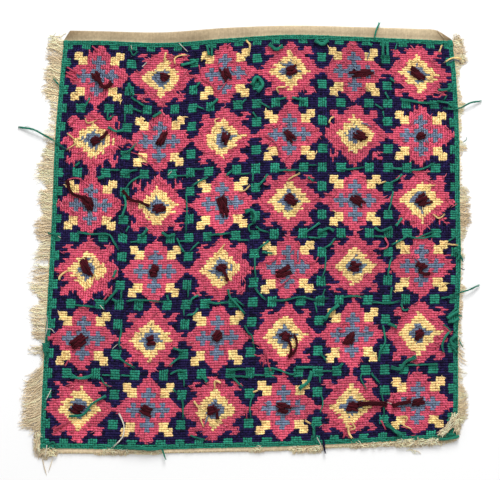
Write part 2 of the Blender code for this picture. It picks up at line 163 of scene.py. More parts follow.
BOTTOM_LOCKS = (
    # column, reach, drift, cover, curl, brown
    (0, 4.5, -5, 1, 1, .35), (3, 5, -1, 1, 1, .3), (5.5, 3, 1, .8, .9, .2), (8, -1.4, 0, .5, .6, .2),
    (22, -1.4, 0, .5, .6, .2), (25, .3, 1, 1, 1.2, .1), (36, .3, 0, 1, 1.2, .15), (38, -1.2, 0, .6, 1, .1),
    (40, -.3, 1, .9, 1.2, .1), (49, -.3, 0, .9, 1.2, .1), (52, -1.6, 0, .4, .6, .1),
    (86, -1.6, 0, .4, .6, .1), (88, 0, 0, .9, 1.2, .1), (92, 0, 0, .9, 1.2, .1), (94, -1.6, 0, .5, .8, .15),
    (103, -1.4, 0, .5, .8, .15), (105.5, 3.2, 0, 1, 1.1, .1), (116, 3.2, 0, 1, 1.1, .1),
    (118.5, -.8, 0, .8, 1.2, .1), (127, -.2, 0, .9, 1.2, .1), (130, 1.2, 1, 1, 1.3, .1),
    (146, 1.5, 0, 1, 1.3, .15), (148, 3, 1, 1, 1.3, .15), (160, 3.2, -1, 1, 1.3, .2),
    (166, 3, -2, 1, 1.2, .2), (169, 1, -1, .8, 1, .1), (172, -1, 0, .5, .8, .1),
)
# Canvas threads that lie loose along a line, in millimetres: both its ends, the width and height they
# lie at, how many they are, how long each is, how much they curl and how brown they are.
FRAYS = (
    # x0, y0, x1, y1, width, height, count, length, curl, brown
    (205, -171, 198, -186, 9, 4.2, 90, 7, 1.3, .3),
    (200, -181, 185, -195, 6, 4.2, 90, 7, 1.3, .35),
    (204, -179, 203, -193, 5, 4.0, 50, 6, 1.4, .3),
    (97, -203, 143, -201, 5, 2.4, 70, 6, 1.6, .15),
    (142, -201, 190, -199, 6.5, 2.8, 150, 7, 1.7, .15),
    (39, -207, 71, -206, 5, 2.2, 70, 6, 1.5, .15),
    (-153, -208.5, -122, -209.5, 4, 2.2, 70, 6, 1.6, .15),
    (-120, -210.5, -92, -210, 3, 2.1, 36, 5, 1.6, .15),
    (-2, -206, 11, -206, 4, 2.2, 26, 5, 1.6, .15),
    (-216, -209, -194, -211, 7, 2.6, 80, 7, 1.5, .3),
    (-215.5, -188, -216, -212, 6.5, 2.4, 110, 6, 1.7, .4),
    (-206, 204, -186, 208, 4, .8, 7, 13, 1.4, .1),
    (200, 204, 211, 196, 9, 1.6, 34, 8, 2.2, .05),
    (207, 190, 213, 178, 6, 1.6, 26, 8, 2.0, .1),
    (145, -208, 172, -207, 6, .6, 4, 14, 1.2, .05),
    (-211, -216, -206.4, -234, .4, .6, 2, 17, .12, .25),
    (-199.5, -215, -206, -234, .4, .6, 2, 17, .12, .25),
    # These two lay fully brown threads along the hem's folded corner: painted shade of its crease.
    (184, 212, 192, 203, .8, 2.4, 9, 8, .2, 1),
    (200, 202, 203, 189, 1, 1.8, 6, 9, .5, .8),
)
# How brown the folded strip is along its outer and its inner edge: partly its own soiling, partly painted
# shade of its fold and creases, as along its inner edge.
HEM_SOIL_AND_SHADE = (
    # column, outer, inner
    (0, .95, .5), (4, .85, .2), (8, .65, .1), (12, .58, 0), (34, .52, 0), (39, .52, .3), (60, .44, .5),
    (66, .44, .2), (73, .42, 0), (82, .22, 0), (120, .08, 0), (132, .15, 0), (137, .45, .2), (142, .15, 0),
    (160, .15, 0), (165, .4, .15), (168, .9, .6), (172, 1, .8),
)

# A quarter of each star, from its middle outwards, one letter for two stitches each way:
# N navy, R rose, Y gold, B blue, M maroon.
DIAMOND_STAR = ("MBBYYRRR", "BBYYRRRN", "BYYRRRNN", "YYRRRNNN",
                "YRRRRRNN", "RRRNRRNN", "RRNNNNNN", "RNNNNNNN")
CROSS_STAR = ("MBBBBRRR", "BBRBRRRN", "BRRRRRNN", "BBRYYNNN", "BRRYYYNN", "RRRNYYNN", "RRNNNNNN", "RNNNNNNN")
GREEN_SQUARE = 2            # half a green square, in stitches
GREEN_REACH = 8             # from a crossing of the squares' lines to the four squares round it

# Stars' lobes whose stitches stand upright (L left, R right, T top, B bottom), by row and column;
# the stitches of all the others lie across.
UPRIGHT_LOBES = {
    (0, 0): "RTB", (1, 0): "LRB", (1, 1): "T", (1, 4): "LB", (1, 5): "RTB", (2, 0): "LRTB", (2, 1): "LT",
    (2, 5): "B", (3, 0): "RB", (3, 2): "R",
}
# How untidy each star is, from 0 to 3: how often its stitches stray and how many lie loose on top.
UNTIDY = ("232222", "322312", "221112", "101212", "210111", "102112")

# The knots of cut yarn, star by star: the place of each beside its star's middle, its length and
# width in millimetres, and the turn of its long side from the X axis in degrees.
KNOTS = (
    # x, y, length, width, turn
    ((-1, -1, 9, 7, -60), (1.5, 1, 9, 8, 0), (1, 0, 12, 8, -60), (2, 0, 11, 8, 20), (6.5, -1.7, 19, 6, 8),
     (-2.7, 0, 19, 7, -35)),
    ((2, 0, 9, 8, 20), (2, 4, 14, 7, 60), (1, 0, 10, 8, 70), (0.5, -1, 13, 9, -60), (5, -1, 13, 8, -20),
     (0, -0.5, 9, 7, 0)),
    ((-2, 2, 15, 9, -60), (2, -1, 13, 8, 20), (1.5, -3, 18, 9, -75), (1.5, 1.5, 14, 9, -30),
     (1, 1, 15, 7, -35), (1.3, 0, 13, 11, 30)),
    ((-1.4, 2, 17, 8, -65), (-1.4, 1, 10, 10, 0), (1.5, 1.5, 8, 6, -20), (-3, -4.3, 17, 8, 25),
     (0, 0, 11, 9, 0), (0, 0, 9, 8, 30)),
    ((-4.5, -3.3, 16, 10, 35), (0, 0, 9, 9, 0), (0, 2, 12, 8, 50), (1, 0, 10, 9, 30),
     (-2.3, -4.4, 15, 8, 60), (0, -1, 10, 8, 40)),
    ((-1.8, 0, 13, 10, -20), (-1.6, 0, 12, 8, -25), (-2.4, -1, 11, 8, 20), (0, -0.4, 13, 9, -20),
     (2, 0, 13, 8, 0), (0, 2.7, 12, 6, 15)),
)
# How the stitches stray on this side of the work.
STRAY_ODDS = (0.12, 0.28, 0.45, 0.6)    # by untidiness: lines of stitches that stop a stitch away
LEAN_ODDS = 0.65            # lines next to a step of the chart that take half of it
# How hard the patches of each wool push against their neighbours; they give way by the difference,
# in stitches at the ends of their lines, and by less at the lines' sides.
PUSH = {"N": 0.66, "R": 0.26, "Y": 0.34, "G": 0.58, "B": 0.2, "M": 0.1}
SIDE_PUSH = 0.7
# How much a stitch's turn, its place across its row and its width vary, beside its unevenness.
TURN_VARIES, PLACE_VARIES, WIDTH_VARIES = 0.5, 0.25, 0.6
TIDY_TILT = 0.6             # turn of a lobe's stitches on the tidiest star, in steps of untidiness
STITCH_END = (0.7, 0.72)    # a stitch's width and height at its ends, beside its middle's
# How far the wool's tone varies: between stars, lobes, squares and single stitches, and in hue.
STAR_TONE, LOBE_TONE, SQUARE_TONE = 0.06, 0.05, 0.08
NAVY_TONE, WOOL_TONE, HUE = 0.32, 0.12, 0.03
TONE_LIMITS = (0.3, 1.8)
BORDER_RIDGES = 3
UPRIGHT_SQUARES = 0.35      # green squares whose stitches stand upright
LOBES = "LRTB"
SQUARE_PITCH = REPEAT / 4   # no two green squares are nearer than this
# Painted shade on the canvas between the stitches: how dark it is drawn beside its wool's colour.
PAINTED_GROUND_SHADE = {"N": 0.5, "R": 0.45, "Y": 0.6, "G": 0.5, "B": 0.45, "M": 0.5}

# A yarn's strands: the radius of each beside the whole yarn's, by how many there are.
PLY_SHARE = {3: 0.58, 7: 0.42}
THICK_YARN = 1.3 * MM       # a yarn at least this thick has seven strands, a thinner one three
# Where a yarn of three strands or of seven narrows at its ends, and to how much of its radius.
PLY_TAPER = {3: ((0, 0.12, 0.7, 1), (0.45, 1, 0.95, 0.25)), 7: ((0, 0.05, 0.92, 1), (0.7, 1, 1, 0.6))}
PLY_TURNS = 0.8             # turns of the strands over the length of a yarn
ROUTE_POINTS = 12           # along a carried yarn or a loose end
HAIR_RADIUS = 0.14 * MM
HAIR_RINGS = 4
KNOT_YARN = 1.15 * MM       # radius of a knot's cut ends
STRAND_POINTS = 5           # along a loose stitch or a knot's cut end
FRAY_RINGS = 9
KNOT_SEED, YARN_SEED, FRAY_SEED = 23, 31, 7

# The stage: the key lamp, the point that the picture's middle sees, and the floor.
LAMP_PLACE = (0.4, 2.4, 1.4)
LAMP_SIZE = 1.3
VIEW_MIDDLE = (-0.003, 0.002)
SENSOR_WIDTH = 36.0
VIEW_LIMIT = 20.0           # how far the camera sees
FLOOR_SIZE = 3.0
FLOOR_DROP = 0.05 * MM
FLOOR_COLOUR = (0.835, 0.835, 0.835, 1.0)

# Loose ends of yarn: the solid each stands for, its wool, its radius, the height it gains at its
# two ends, and the points it lies along, in millimetres from the field's middle.
YARN_ENDS = (
    # node, wool, radius, lift_first, lift_last, route
    ("yarn_red_a", "maroon", 1.7, 0.0, 0.0, ((-186, 62), (-181, 49), (-170, 45), (-166, 44))),
    ("yarn_red_b", "maroon", 1.7, 0.0, 0.0, ((-130, 52), (-123, 43), (-113, 40), (-103, 36))),
    ("yarn_red_c", "maroon", 2.5, 0.0, 0.0, ((105, -162), (118, -161), (134, -161.5))),
    ("yarn_red_d", "maroon", 2.2, 0.0, 0.0, ((139, -163), (148, -161), (158, -159.5))),
    ("yarn_red_e", "maroon", 1.5, 0.0, 0.0, ((110, 170), (115, 169), (121, 169))),
    ("yarn_red_f", "maroon", 1.4, 0.0, 0.0, ((41, -92), (44, -100), (42, -109), (35, -115))),
    ("yarn_green_a", "green", 1.0, -2.2, 0.0, ((-235, 115), (-221, 113), (-205, 105), (-187, 93))),
    ("yarn_green_b", "green", 0.9, -2.2, 0.0, ((229, 141), (218, 139), (204, 133), (190, 134))),
    ("yarn_green_c", "green", 1.4, 0.0, 0.0, ((-147, -154), (-161, -162), (-170, -173), (-184, -174))),
    ("yarn_green_d", "green", 0.9, -1.6, 0.0, ((127, 220), (123, 211), (121, 201))),
    ("yarn_green_e", "green", 0.9, -2.2, 0.0, ((227, -43), (213, -49), (200, -52))),
    ("yarn_gold", "gold", 0.9, -0.9, 0.0, ((209, 183), (200, 184), (192, 180))),
    ("yarn_white", "white", 0.7, 0.0, 0.0, ((-134, -171), (-129, -184), (-131, -196), (-141, -206))),
    ("yarn_navy", "navy", 1.0, 0.0, -1.4, ((69, -189), (71, -200), (72, -210))),
)
# Yarn carried across the back from one patch to the next, and strands that have worked loose:
# the radius, and x and y of each point in millimetres, by wool and in the order they are laid.
FLOATS = {
    # wool: radius, x, y, x, y, ...
    "maroon": (
        (2.2, -157, 167, -153, 160, -148, 155, -141, 160), (2, -162, 101, -155, 103, -149, 106, -146, 111),
        (2, -37, -26, -31, -27, -27, -33, -25, -39), (1.6, -38, -165, -36, -171, -35, -177),
        (1.4, 35, -97, 38, -104, 38, -112), (1.8, 166, -29, 172, -32, 177, -31),
    ),
    "green": (
        (.8, -124, 197, -120, 187, -115, 191), (1.3, -124, 159, -126, 150), (1.3, -124, 159, -121, 149),
        (1.1, -122, 145, -113, 139, -107, 135), (1, -121, 134, -111, 130), (.8, -128, 128, -128, 119),
        (1.4, -145, 115, -137, 111, -129, 112), (1, -169, 134, -165, 141, -163, 145),
        (1.1, -145, 130, -145, 123, -139, 127), (1.6, -100, 125, -92, 130),
        (1.4, -72, 177, -63, 179, -57, 181), (1.3, -46, 197, -44, 187), (1.3, -41, 197, -41, 186),
        (1.2, -58, 154, -53, 160), (1.4, -44, 135, -35, 143), (.9, -56, 136, -49, 133),
        (1.8, 16, 198, 23, 193, 30, 196), (2, -1, 157, 4, 165, 10, 158, 5, 150), (1, 7, 140, 17, 134),
        (1, 24, 142, 34, 145), (1.2, 39, 145, 52, 141), (1, 0, 130, 4, 124), (.9, -11, 139, -7, 143),
        (2, 62, 202, 69, 198, 75, 202), (1.5, 115, 198, 119, 197), (1.5, 130, 200, 130, 186),
        (1.5, 134, 200, 135, 186), (.7, 142, 192, 144, 199), (1, 132, 150, 136, 143),
        (.9, 122, 138, 130, 133), (.8, 130, 131, 131, 125), (1.1, 147, 143, 159, 141, 174, 139, 183, 139),
        (1.2, 184, 141, 195, 139, 202, 133), (1.2, 185, 152, 195, 153, 200, 160), (.8, 191, 142, 194, 147),
        (1.2, 137, 164, 142, 160), (1, -143, 72, -133, 72), (1, -128, 67, -122, 71, -115, 72),
        (1, -112, 66, -121, 61, -127, 54), (1.6, -155, 64, -149, 65), (.9, -124, 16, -127, 10),
        (1.3, -129, 47, -127, 38, -129, 31, -131, 25), (1.7, -111, 7, -105, 13), (.9, -123, 0, -112, 1),
        (1, -176, 10, -162, 8, -145, 8, -139, 0, -134, -8), (1.1, -131, 89, -123, 92, -117, 99),
        (.8, -79, 66, -61, 67), (.9, -67, 48, -66, 34, -67, 9), (.9, -76, 4, -70, -10),
        (1.5, -91, 10, -85, 6, -78, 8), (.8, -76, 1, -63, 1), (1, -178, 76, -173, 80),
        (.9, -59, 73, -49, 73), (1.1, -45, 65, -53, 61, -61, 56), (1.1, -27, 67, -19, 73),
        (.8, -13, 68, -2, 69), (1, 0, 69, 0, 60), (1.1, 15, 68, 10, 61, 4, 55), (1, 24, 72, 46, 72),
        (.7, 56, 77, 64, 77), (1.2, 55, 65, 61, 61), (1.9, -8, 30, -1, 32, 3, 26, 1, 19),
        (1, 1, 19, -4, 16, -3, 11, 1, 9), (1, 3, 16, 8, 12, 16, 10), (1.1, -45, 7, -22, 9),
        (.9, -16, 2, -4, 2), (.9, -73, -3, -68, -11), (.9, -54, 0, -63, -9), (1, 16, 1, 5, -7),
        (1.2, 9, -10, 20, -11), (.9, 2, -12, 2, -26, 3, -37), (1, 67, 19, 53, 10), (.9, 55, 5, 67, 4),
        (1, 87, 73, 98, 73, 112, 75), (1.3, 138, 74, 149, 73), (1, 157, 72, 169, 73, 181, 79),
        (1.1, 149, 68, 145, 63, 137, 59), (1, 140, 51, 138, 39, 135, 30), (1.5, 66, 10, 75, 14, 81, 11),
        (1, 82, 4, 77, -3, 71, -6), (.9, 121, 6, 137, 5), (1.4, 122, 15, 128, 11, 139, 15),
        (1.1, 155, 7, 147, 1, 138, -3), (.9, 157, 5, 170, 4, 181, 7), (.9, 164, 4, 181, 11),
        (1.4, 149, 24, 143, 16), (.9, 195, 1, 202, 5), (.9, 139, -15, 136, -26, 135, -36),
        (1, -178, -63, -167, -64, -155, -65), (1.3, -136, -48, -143, -56, -148, -62),
        (1.2, -131, -47, -132, -58), (1, -127, -59, -119, -58, -108, -58, -89, -60),
        (1.2, -86, -53, -84, -59), (1, -132, -84, -132, -92, -134, -101, -132, -107),
        (1.1, -134, -116, -128, -120, -118, -126), (1.8, -182, -134, -171, -136, -160, -133),
        (.9, -151, -133, -142, -133), (1, -132, -133, -121, -134), (.8, -152, -135, -149, -141, -143, -145),
        (1.1, -73, -115, -84, -124), (1.3, -80, -106, -70, -109), (1, -83, -132, -74, -128, -67, -130),
        (.9, -69, -133, -69, -145), (.9, -64, -42, -65, -55), (1.3, -140, -35, -137, -28),
        (.9, -69, -67, -69, -74), (1.3, -141, -57, -135, -60), (1.2, -54, -53, -61, -57, -62, -63),
        (1.1, -46, -60, -36, -61, -24, -60), (1.1, -55, -66, -59, -72, -66, -73),
        (1.3, -25, -47, -23, -55, -17, -61, -8, -72), (1, -16, -58, -9, -64),
        (1.1, 2, -46, 7, -52, 13, -58), (1, 19, -58, 31, -58, 45, -55, 55, -56, 63, -58, 76, -56),
        (.8, 62, -60, 64, -71), (1, -8, -83, -5, -90, -1, -94, 1, -106),
        (1.2, -25, -129, -14, -127, -1, -128), (1.2, -24, -135, -15, -134, -3, -135),
        (.9, 0, -133, 13, -133), (1, 13, -127, 24, -127, 38, -132, 44, -130), (1.3, 43, -125, 60, -125),
        (1.9, 59, -129, 55, -140, 46, -147), (1.3, -52, -133, -46, -140), (1, -20, -135, -11, -145),
        (.9, 73, -14, 72, -27, 69, -36), (.8, 72, -47, 69, -56), (1, 89, -55, 100, -54, 111, -55),
        (1, 119, -60, 135, -61, 147, -59), (1.1, 139, -45, 137, -58), (.9, 148, -62, 151, -68, 156, -67),
        (1, 188, -56, 202, -54), (1.9, 86, -63, 78, -69, 71, -78),
        (1, 130, -83, 132, -93, 132, -101, 127, -109, 126, -119), (1.7, 135, -81, 144, -85),
        (1, 67, -111, 75, -120), (1, 63, -129, 82, -129), (1.2, 86, -125, 90, -121),
        (.9, 67, -132, 67, -141), (.8, 109, -131, 108, -137, 114, -148), (1, 118, -131, 127, -141),
        (.9, 128, -149, 130, -158, 131, -168, 131, -175), (2, 133, -181, 143, -189, 149, -193),
        (1.9, 138, -125, 147, -127, 152, -120, 163, -114), (1.1, 154, -123, 185, -122),
        (1.2, 197, -89, 191, -97, 189.5, -105, 191, -111), (.8, 190, -82, 195, -86, 199, -90),
        (1.6, 194, -76, 200, -72, 206, -69), (1.4, 195, -80, 201, -79, 206, -76), (1, 205, -73, 209, -74),
        (1.8, 204, -93, 198, -99, 204, -106), (1.4, 199, -104, 204, -110),
        (1.5, 203, -8, 206, -13, 205, -18), (1.1, 204, -66, 195, -74), (1, -71, -154, -70, -164, -70, -177),
        (1, -80, -147, -77, -150), (.9, -91, -206, -87, -218), (.8, 0, -152, -3, -164, -2, -176),
        (.8, 67, -150, 70, -160, 67, -171), (1.7, 61, -184, 61, -196),
        (.8, -63, -193, -55, -196, -46, -198), (.8, -200, 164, -193, 156), (1, -205, 9, -193, 7),
        (1.8, -208.6, -101, -208.4, -108, -206, -114),
        (1.5, 186, -197, 194, -196.6, 201, -195.6, 206, -194), (1.9, -129, -204, -120, -206, -110, -206),
        (2, -114, -205, -103, -207, -90, -205), (.9, -206, -203, -200, -200, -196, -205),
        (2.2, -207, -101, -206, -110), (.4, 210, 100, 213, 102, 214, 105),
        (.6, 206, -97, 208, -102, 210, -105), (1, 206, -10, 209, -17, 210, -20),
    ),
    "gold": (
        (1.1, -87, 189.5, -88, 185, -88.5, 180.5), (.7, -186, 109, -181, 105, -177, 99, -187, 92),
        (.7, -168, 124, -165, 119, -156, 122), (.7, -78, 178, -78, 184, -71, 187, -66, 187),
        (1.1, -7, 202, -3, 197, -4, 188), (.6, -52, 181, -46, 188), (.8, 33, 155, 24, 154, 26, 149),
        (.7, -37, 117, -38, 122, -33, 124), (.7, -14, 51, -8, 52, -3, 57), (.8, 35, 62, 39, 65, 47, 69),
        (1, -36, -12, -33, -8, -28, -2), (.9, 76, 119, 78, 124, 81, 125), (.8, 125, 58, 133, 61),
        (.8, 180, 28, 186, 24, 192, 28), (.6, 174, 56, 183, 57), (.9, 194, -2, 205, -3),
        (1.1, -194, -38, -192, -33, -183, -27), (1, -104, -116, -102, -120), (1.1, -59, -159, -54, -166),
        (1, -32, -141, -38, -139, -38, -147), (.9, -53, -176, -49, -185), (1, 52, -178, 58, -182),
        (1.3, 95, -183, 96, -191, 99, -196), (.9, 99, -180, 102, -186, 97, -188),
        (.8, 147, -174, 154, -175, 153, -180), (.7, 150, -183, 159, -187), (1, 0, -150, 5, -148),
        (.9, 186, 190, 189, 197),
    ),
    "white": (
        (.45, -74, 199, -65, 190), (.4, -122, 197, -121, 192), (.4, -111, 175, -106, 180),
        (.4, -141, -107, -135, -102), (.45, -208, -87, -202, -87, -198, -91), (.45, -202, -148, -207, -158),
        (.45, 64, -195, 69, -205), (.4, 134, -160, 142, -163), (.45, -85, 67, -81, 71),
        (.35, 97, 92, 101, 91), (.5, -206, -203, -208, -215), (.4, -206.5, -73, -205.8, -84, -207.8, -96),
        (.4, -153, -63, -149, -68), (.35, 146, -141, 149, -144), (.4, -195, 6, -192, 4),
    ),
    "navy": (
        (.45, 208, -26, 210, -27.6, 212, -27), (.6, 206.6, 179.4, 208.3, 178.2),
        (.9, 70.4, -200, 71.4, -207, 72.6, -212),
    ),
    "rose": (
        (.8, 190, -84, 196, -89, 198, -93), (.8, -186, 62, -177, 64, -169, 61),
        (.6, -122, 90, -110, 85, -97, 71), (.8, -52, 164, -43, 159, -35, 149),
        (.7, -35, 149, -28, 158, -24, 163), (.8, -54, 177, -52, 167), (.7, 28, 88, 21, 101, 11, 107),
        (.8, 6, -21, 20, -19, 25, -12), (.8, 25, -46, 37, -36), (.7, 42, -5, 42, -25),
        (1, 132, 5, 135, -2, 133, -6, 126, -7), (.8, 65, -15, 63, -19, 57, -21), (.8, -149, -58, -143, -49),
        (.8, 13, -107, 10, -125), (.8, 14, -110, 15, -120, 18, -129), (.7, 9, -112, 7, -122),
        (.9, -1, -100, 9, -104), (.7, 32, -164, 47, -164), (.8, 90, -196, 94, -190),
        (1.3, -198, -187, -184, -179), (.8, -188, -124, -184, -117), (2, -205, -96, -200, -96),
        (.8, -186, 175, -176, 169, -172, 167), (.8, -187, 170, -175, 164), (.8, -186, 166, -174, 160),
        (.7, -161, 196, -158, 193.5, -155.5, 189.5), (.7, -7, -166, -6, -177), (.8, 128, -178, 133, -188),
        (.8, -160, -42, -158, -35), (.7, -48, -198, -43, -194),
    ),
    "blue": (
        (.5, 196, 180, 201.6, 182.3, 207, 180.4), (.6, 108, 119, 113, 118, 119, 115),
        (.6, 117, 191, 114, 182), (.8, 45, -8, 45, -20), (.9, -45, -173, -48, -183),
    ),
}


# Where the stitches lie


def smooth_column(rows, column, stations):
    """A table column's values at many stations, on a smooth curve through its rows."""
    knots = np.array([row[0] for row in rows], dtype=float)
    values = np.array([row[column] for row in rows], dtype=float)
    order = np.arange(len(knots))
    low, high = np.maximum(order - 1, 0), np.minimum(order + 1, len(knots) - 1)
    slopes = (values[high] - values[low]) / (knots[high] - knots[low])
    stations = np.clip(np.asarray(stations, dtype=float), knots[0], knots[-1])
    index = np.clip(np.searchsorted(knots, stations) - 1, 0, len(knots) - 2)
    span = knots[index + 1] - knots[index]
    f = (stations - knots[index]) / span
    return ((2 * f**3 - 3 * f**2 + 1) * values[index] + (f**3 - 2 * f**2 + f) * span * slopes[index]
            + (3 * f**2 - 2 * f**3) * values[index + 1] + (f**3 - f**2) * span * slopes[index + 1])


def field_places(columns, rows):
    """Places of stitches in the field, spread between its four edges, in metres."""
    columns, rows = np.broadcast_arrays(np.asarray(columns, dtype=float), np.asarray(rows, dtype=float))
    across, down = columns / STITCHES, rows / STITCHES
    first, last = SIDE_EDGES[0], SIDE_EDGES[-1]
    places = []
    for axis in (0, 1):
        top = smooth_column(END_EDGES, 1 + axis, columns)
        bottom = smooth_column(END_EDGES, 3 + axis, columns)
        left = smooth_column(SIDE_EDGES, 1 + axis, rows)
        right = smooth_column(SIDE_EDGES, 3 + axis, rows)
        corners = ((1 - across) * (1 - down) * first[1 + axis] + across * (1 - down) * first[3 + axis]
                   + (1 - across) * down * last[1 + axis] + across * down * last[3 + axis])
        between = (1 - down) * top + down * bottom + (1 - across) * left + across * right
        places.append((between - corners) * MM)
    return np.stack(places, axis=-1)


def cloth_places(columns, rows):
    """Places of points of the whole cloth; a margin is one unit wide, outside 0 to STITCHES."""
    columns, rows = np.broadcast_arrays(np.asarray(columns, dtype=float), np.asarray(rows, dtype=float))
    inside = np.clip(columns, 0, STITCHES)
    places = field_places(inside, np.clip(rows, 0, STITCHES))
    hem = np.stack([smooth_column(HEM_AND_FOOT, axis, inside) for axis in (1, 2)], axis=-1) * MM
    share = np.clip(-rows, 0, 1)[..., None]
    places = places * (1 - share) + hem * share
    foot = smooth_column(HEM_AND_FOOT, 3, inside) * MM + FOOT_EXTRA
    places[..., 1] -= np.clip(rows - STITCHES, 0, 1) * foot
    beside_hem = rows < 0
    places[..., 0] += np.clip(columns, -1, 0) * np.where(beside_hem, HEM_END, LEFT_MARGIN)
    places[..., 0] += np.clip(columns - STITCHES, 0, 1) * np.where(beside_hem, HEM_END, RIGHT_MARGIN)
    return places


def pucker(places):
    """The field's slight unevenness: slow waves that cross each other."""
    x, y = places[..., 0] / PUCKER_LENGTH, places[..., 1] / PUCKER_LENGTH
    waves = np.sin(1.3 * x + 0.7 * y) + np.sin(0.9 * y - 1.7 * x + 1.0) + np.sin(2.3 * y + 0.4 * x)
    return PUCKER * waves / 3


def surface_height(place):
    """Height of the worked face at one place."""
    return WORKED_THICK + float(pucker(np.array([place[0], place[1]])))


def star_centre(row, column):
    return field_places(BAND + REPEAT * (column + 0.5), BAND + REPEAT * (row + 0.5))


def lobe_of(across, down):
    """Which of its star's lobes a stitch is in: an index into LOBES."""
    beside = np.abs(across) >= np.abs(down)
    return np.where(beside, np.where(across < 0, 0, 1), np.where(down < 0, 2, 3))


def strayed(away, line, untidy, chance):
    """Distances from a star's middle along its lines of stitches, once lines stop short or run over."""
    side = (away > 0).astype(int)
    index = np.rint(line - 0.5 + REPEAT / 2).astype(int)
    odds = STRAY_ODDS[untidy]
    slip = chance.choice((-1, 0, 1), (2, REPEAT), p=(odds / 2, 1 - odds, odds / 2))
    lean = chance.random((2, REPEAT)) < LEAN_ODDS
    outer = (np.abs(line) - 0.5) % 2 < 0.5
    return np.abs(away) + slip[side, index] + (lean[side, index] & outer)


def charted(star, across, down):
    """A star's letters at distances from its middle, in stitches."""
    first, second = (np.clip((far + 1) // GRID_STEP, 0, len(star) - 1).astype(int) for far in (down, across))
    return star[first, second]


def yarn_chart(chance=None):
    """Every stitch's wool as a letter, by row and column, and whether it stands upright.

    A random generator gives the patches the ragged outlines that the back of the work has."""
    chart = np.full((STITCHES, STITCHES), "G")
    upright = np.zeros(chart.shape, dtype=bool)
    middle = np.arange(REPEAT) + 0.5 - REPEAT / 2
    across, down = np.meshgrid(middle, middle)
    lobes = lobe_of(across, down)
    for row in range(MOTIFS):
        for column in range(MOTIFS):
            crossed = (row + column) % 2 == 0
            star = np.array([list(line) for line in (CROSS_STAR if crossed else DIAMOND_STAR)])
            stands = np.isin(lobes, [LOBES.index(lobe) for lobe in UPRIGHT_LOBES.get((row, column), "")])
            letters = charted(star, np.abs(across), np.abs(down))
            if chance:
                untidy = int(UNTIDY[row][column])
                ragged = charted(
                    star, np.where(stands, np.abs(across), strayed(across, down, untidy, chance)),
                    np.where(stands, strayed(down, across, untidy, chance), np.abs(down)))
                outline = np.isin(letters, ("R", "N")) & np.isin(ragged, ("R", "N"))
                letters = np.where(outline | (not crossed), ragged, letters)
            place = (slice(BAND + REPEAT * row, BAND + REPEAT * (row + 1)),
                     slice(BAND + REPEAT * column, BAND + REPEAT * (column + 1)))
            chart[place] = letters
            upright[place] = stands
    sides = ((0, 0), (-GREEN_REACH, 0), (GREEN_REACH, 0), (0, -GREEN_REACH), (0, GREEN_REACH))
    for row in range(MOTIFS + 1):
        for column in range(MOTIFS + 1):
            for right, below in sides:
                spans = [slice(max(0, middle - GREEN_SQUARE), max(0, middle + GREEN_SQUARE))
                         for middle in (BAND + REPEAT * row + below, BAND + REPEAT * column + right)]
                chart[spans[0], spans[1]] = "G"
                upright[spans[0], spans[1]] = chance is not None and chance.random() < UPRIGHT_SQUARES
    return chart, upright


# Settings


def wool_colour(name, description, default):
    return bpy.props.FloatVectorProperty(name=name, description=description, default=default, subtype="COLOR",
                                         size=3, min=0.0, max=1.0)


def length_setting(name, description, default):
    return bpy.props.FloatProperty(name=name, description=description, default=default, min=0.0,
                                   unit="LENGTH")


def share_setting(name, description, default):
    return bpy.props.FloatProperty(name=name, description=description, default=default, min=0.0, max=2.0,
                                   subtype="FACTOR")


def angle_setting(name, description, degrees):
    return bpy.props.FloatProperty(name=name, description=description, default=math.radians(degrees), min=0.0,
                                   subtype="ANGLE")


def count_setting(name, description, default):
    return bpy.props.IntProperty(name=name, description=description, default=default, min=0)


class NeedlepointWools(bpy.types.PropertyGroup):
    """Colours of the wools and the canvas"""
    navy: wool_colour("Navy", "Ground between the stars", (0.012, 0.008, 0.050))
    rose: wool_colour("Rose", "The stars' rays", (0.62, 0.093, 0.157))
    gold: wool_colour("Gold", "Diamonds and corner petals", (0.93, 0.67, 0.29))
    blue: wool_colour("Blue", "Middles of the stars", (0.162, 0.211, 0.305))
    green: wool_colour("Green", "Border band and small squares", (0.023, 0.229, 0.151))
    maroon: wool_colour("Maroon", "Knots of cut yarn", (0.055, 0.003, 0.008))
    white: wool_colour("White", "Stray white ends", (0.80, 0.76, 0.66))
    canvas: wool_colour("Canvas", "Bare canvas of the margins", (0.56, 0.45, 0.29))
    thread: wool_colour("Thread", "Ravelled canvas threads", (1.0, 0.81, 0.54))
    # Brown of stained canvas and threads; the same brown is painted as shade on the hem's fold, along the
    # foot's edge and deep in the fringe and frays.
    stain_and_shade: wool_colour("Stain", "Browned canvas and threads", (0.22, 0.15, 0.08))


class NeedlepointStitches(bpy.types.PropertyGroup):
    """Sizes of the stitches"""
    width: share_setting("Width", "Width of a stitch beside its row's height", 1.38)
    length: share_setting("Length", "Length of a stitch beside its column's width", 1.3)
    height: length_setting("Height", "Height of a stitch over the canvas", 1.2 * MM)
    unevenness: share_setting("Unevenness", "How much the stitches' shapes vary", 0.14)
    tilt: angle_setting("Tilt", "How far an untidy lobe's stitches turn", 5)
    square_tilt: angle_setting("Squares' tilt", "How far a green square's stitches turn", 9)
    ground_tilt: angle_setting("Ground's tilt", "How far each navy stitch turns", 8)
    loose: count_setting("Loose strands", "Strands worked loose on the tidiest star", 12)
    loose_more: count_setting("More loose strands", "Further ones for each step of untidiness", 24)
    seed: count_setting("Seed", "Start of the stitches' random variation", 11)


class NeedlepointThreads(bpy.types.PropertyGroup):
    """Sizes of the ravelled threads"""
    radius: length_setting("Radius", "Radius of one ply of a ravelled thread", 0.23 * MM)
    pitch: length_setting("Pitch", "Distance between threads along an edge", 1.2 * MM)
    plies: count_setting("Plies", "Plies that each thread parts into", 6)
    crimp: length_setting("Crimp", "How far the weave has bent a thread to each side", 0.3 * MM)
    wave: length_setting("Wave", "Length of one wave of the crimp", 4.8 * MM)
    seed: count_setting("Seed", "Start of the threads' random variation", 5)


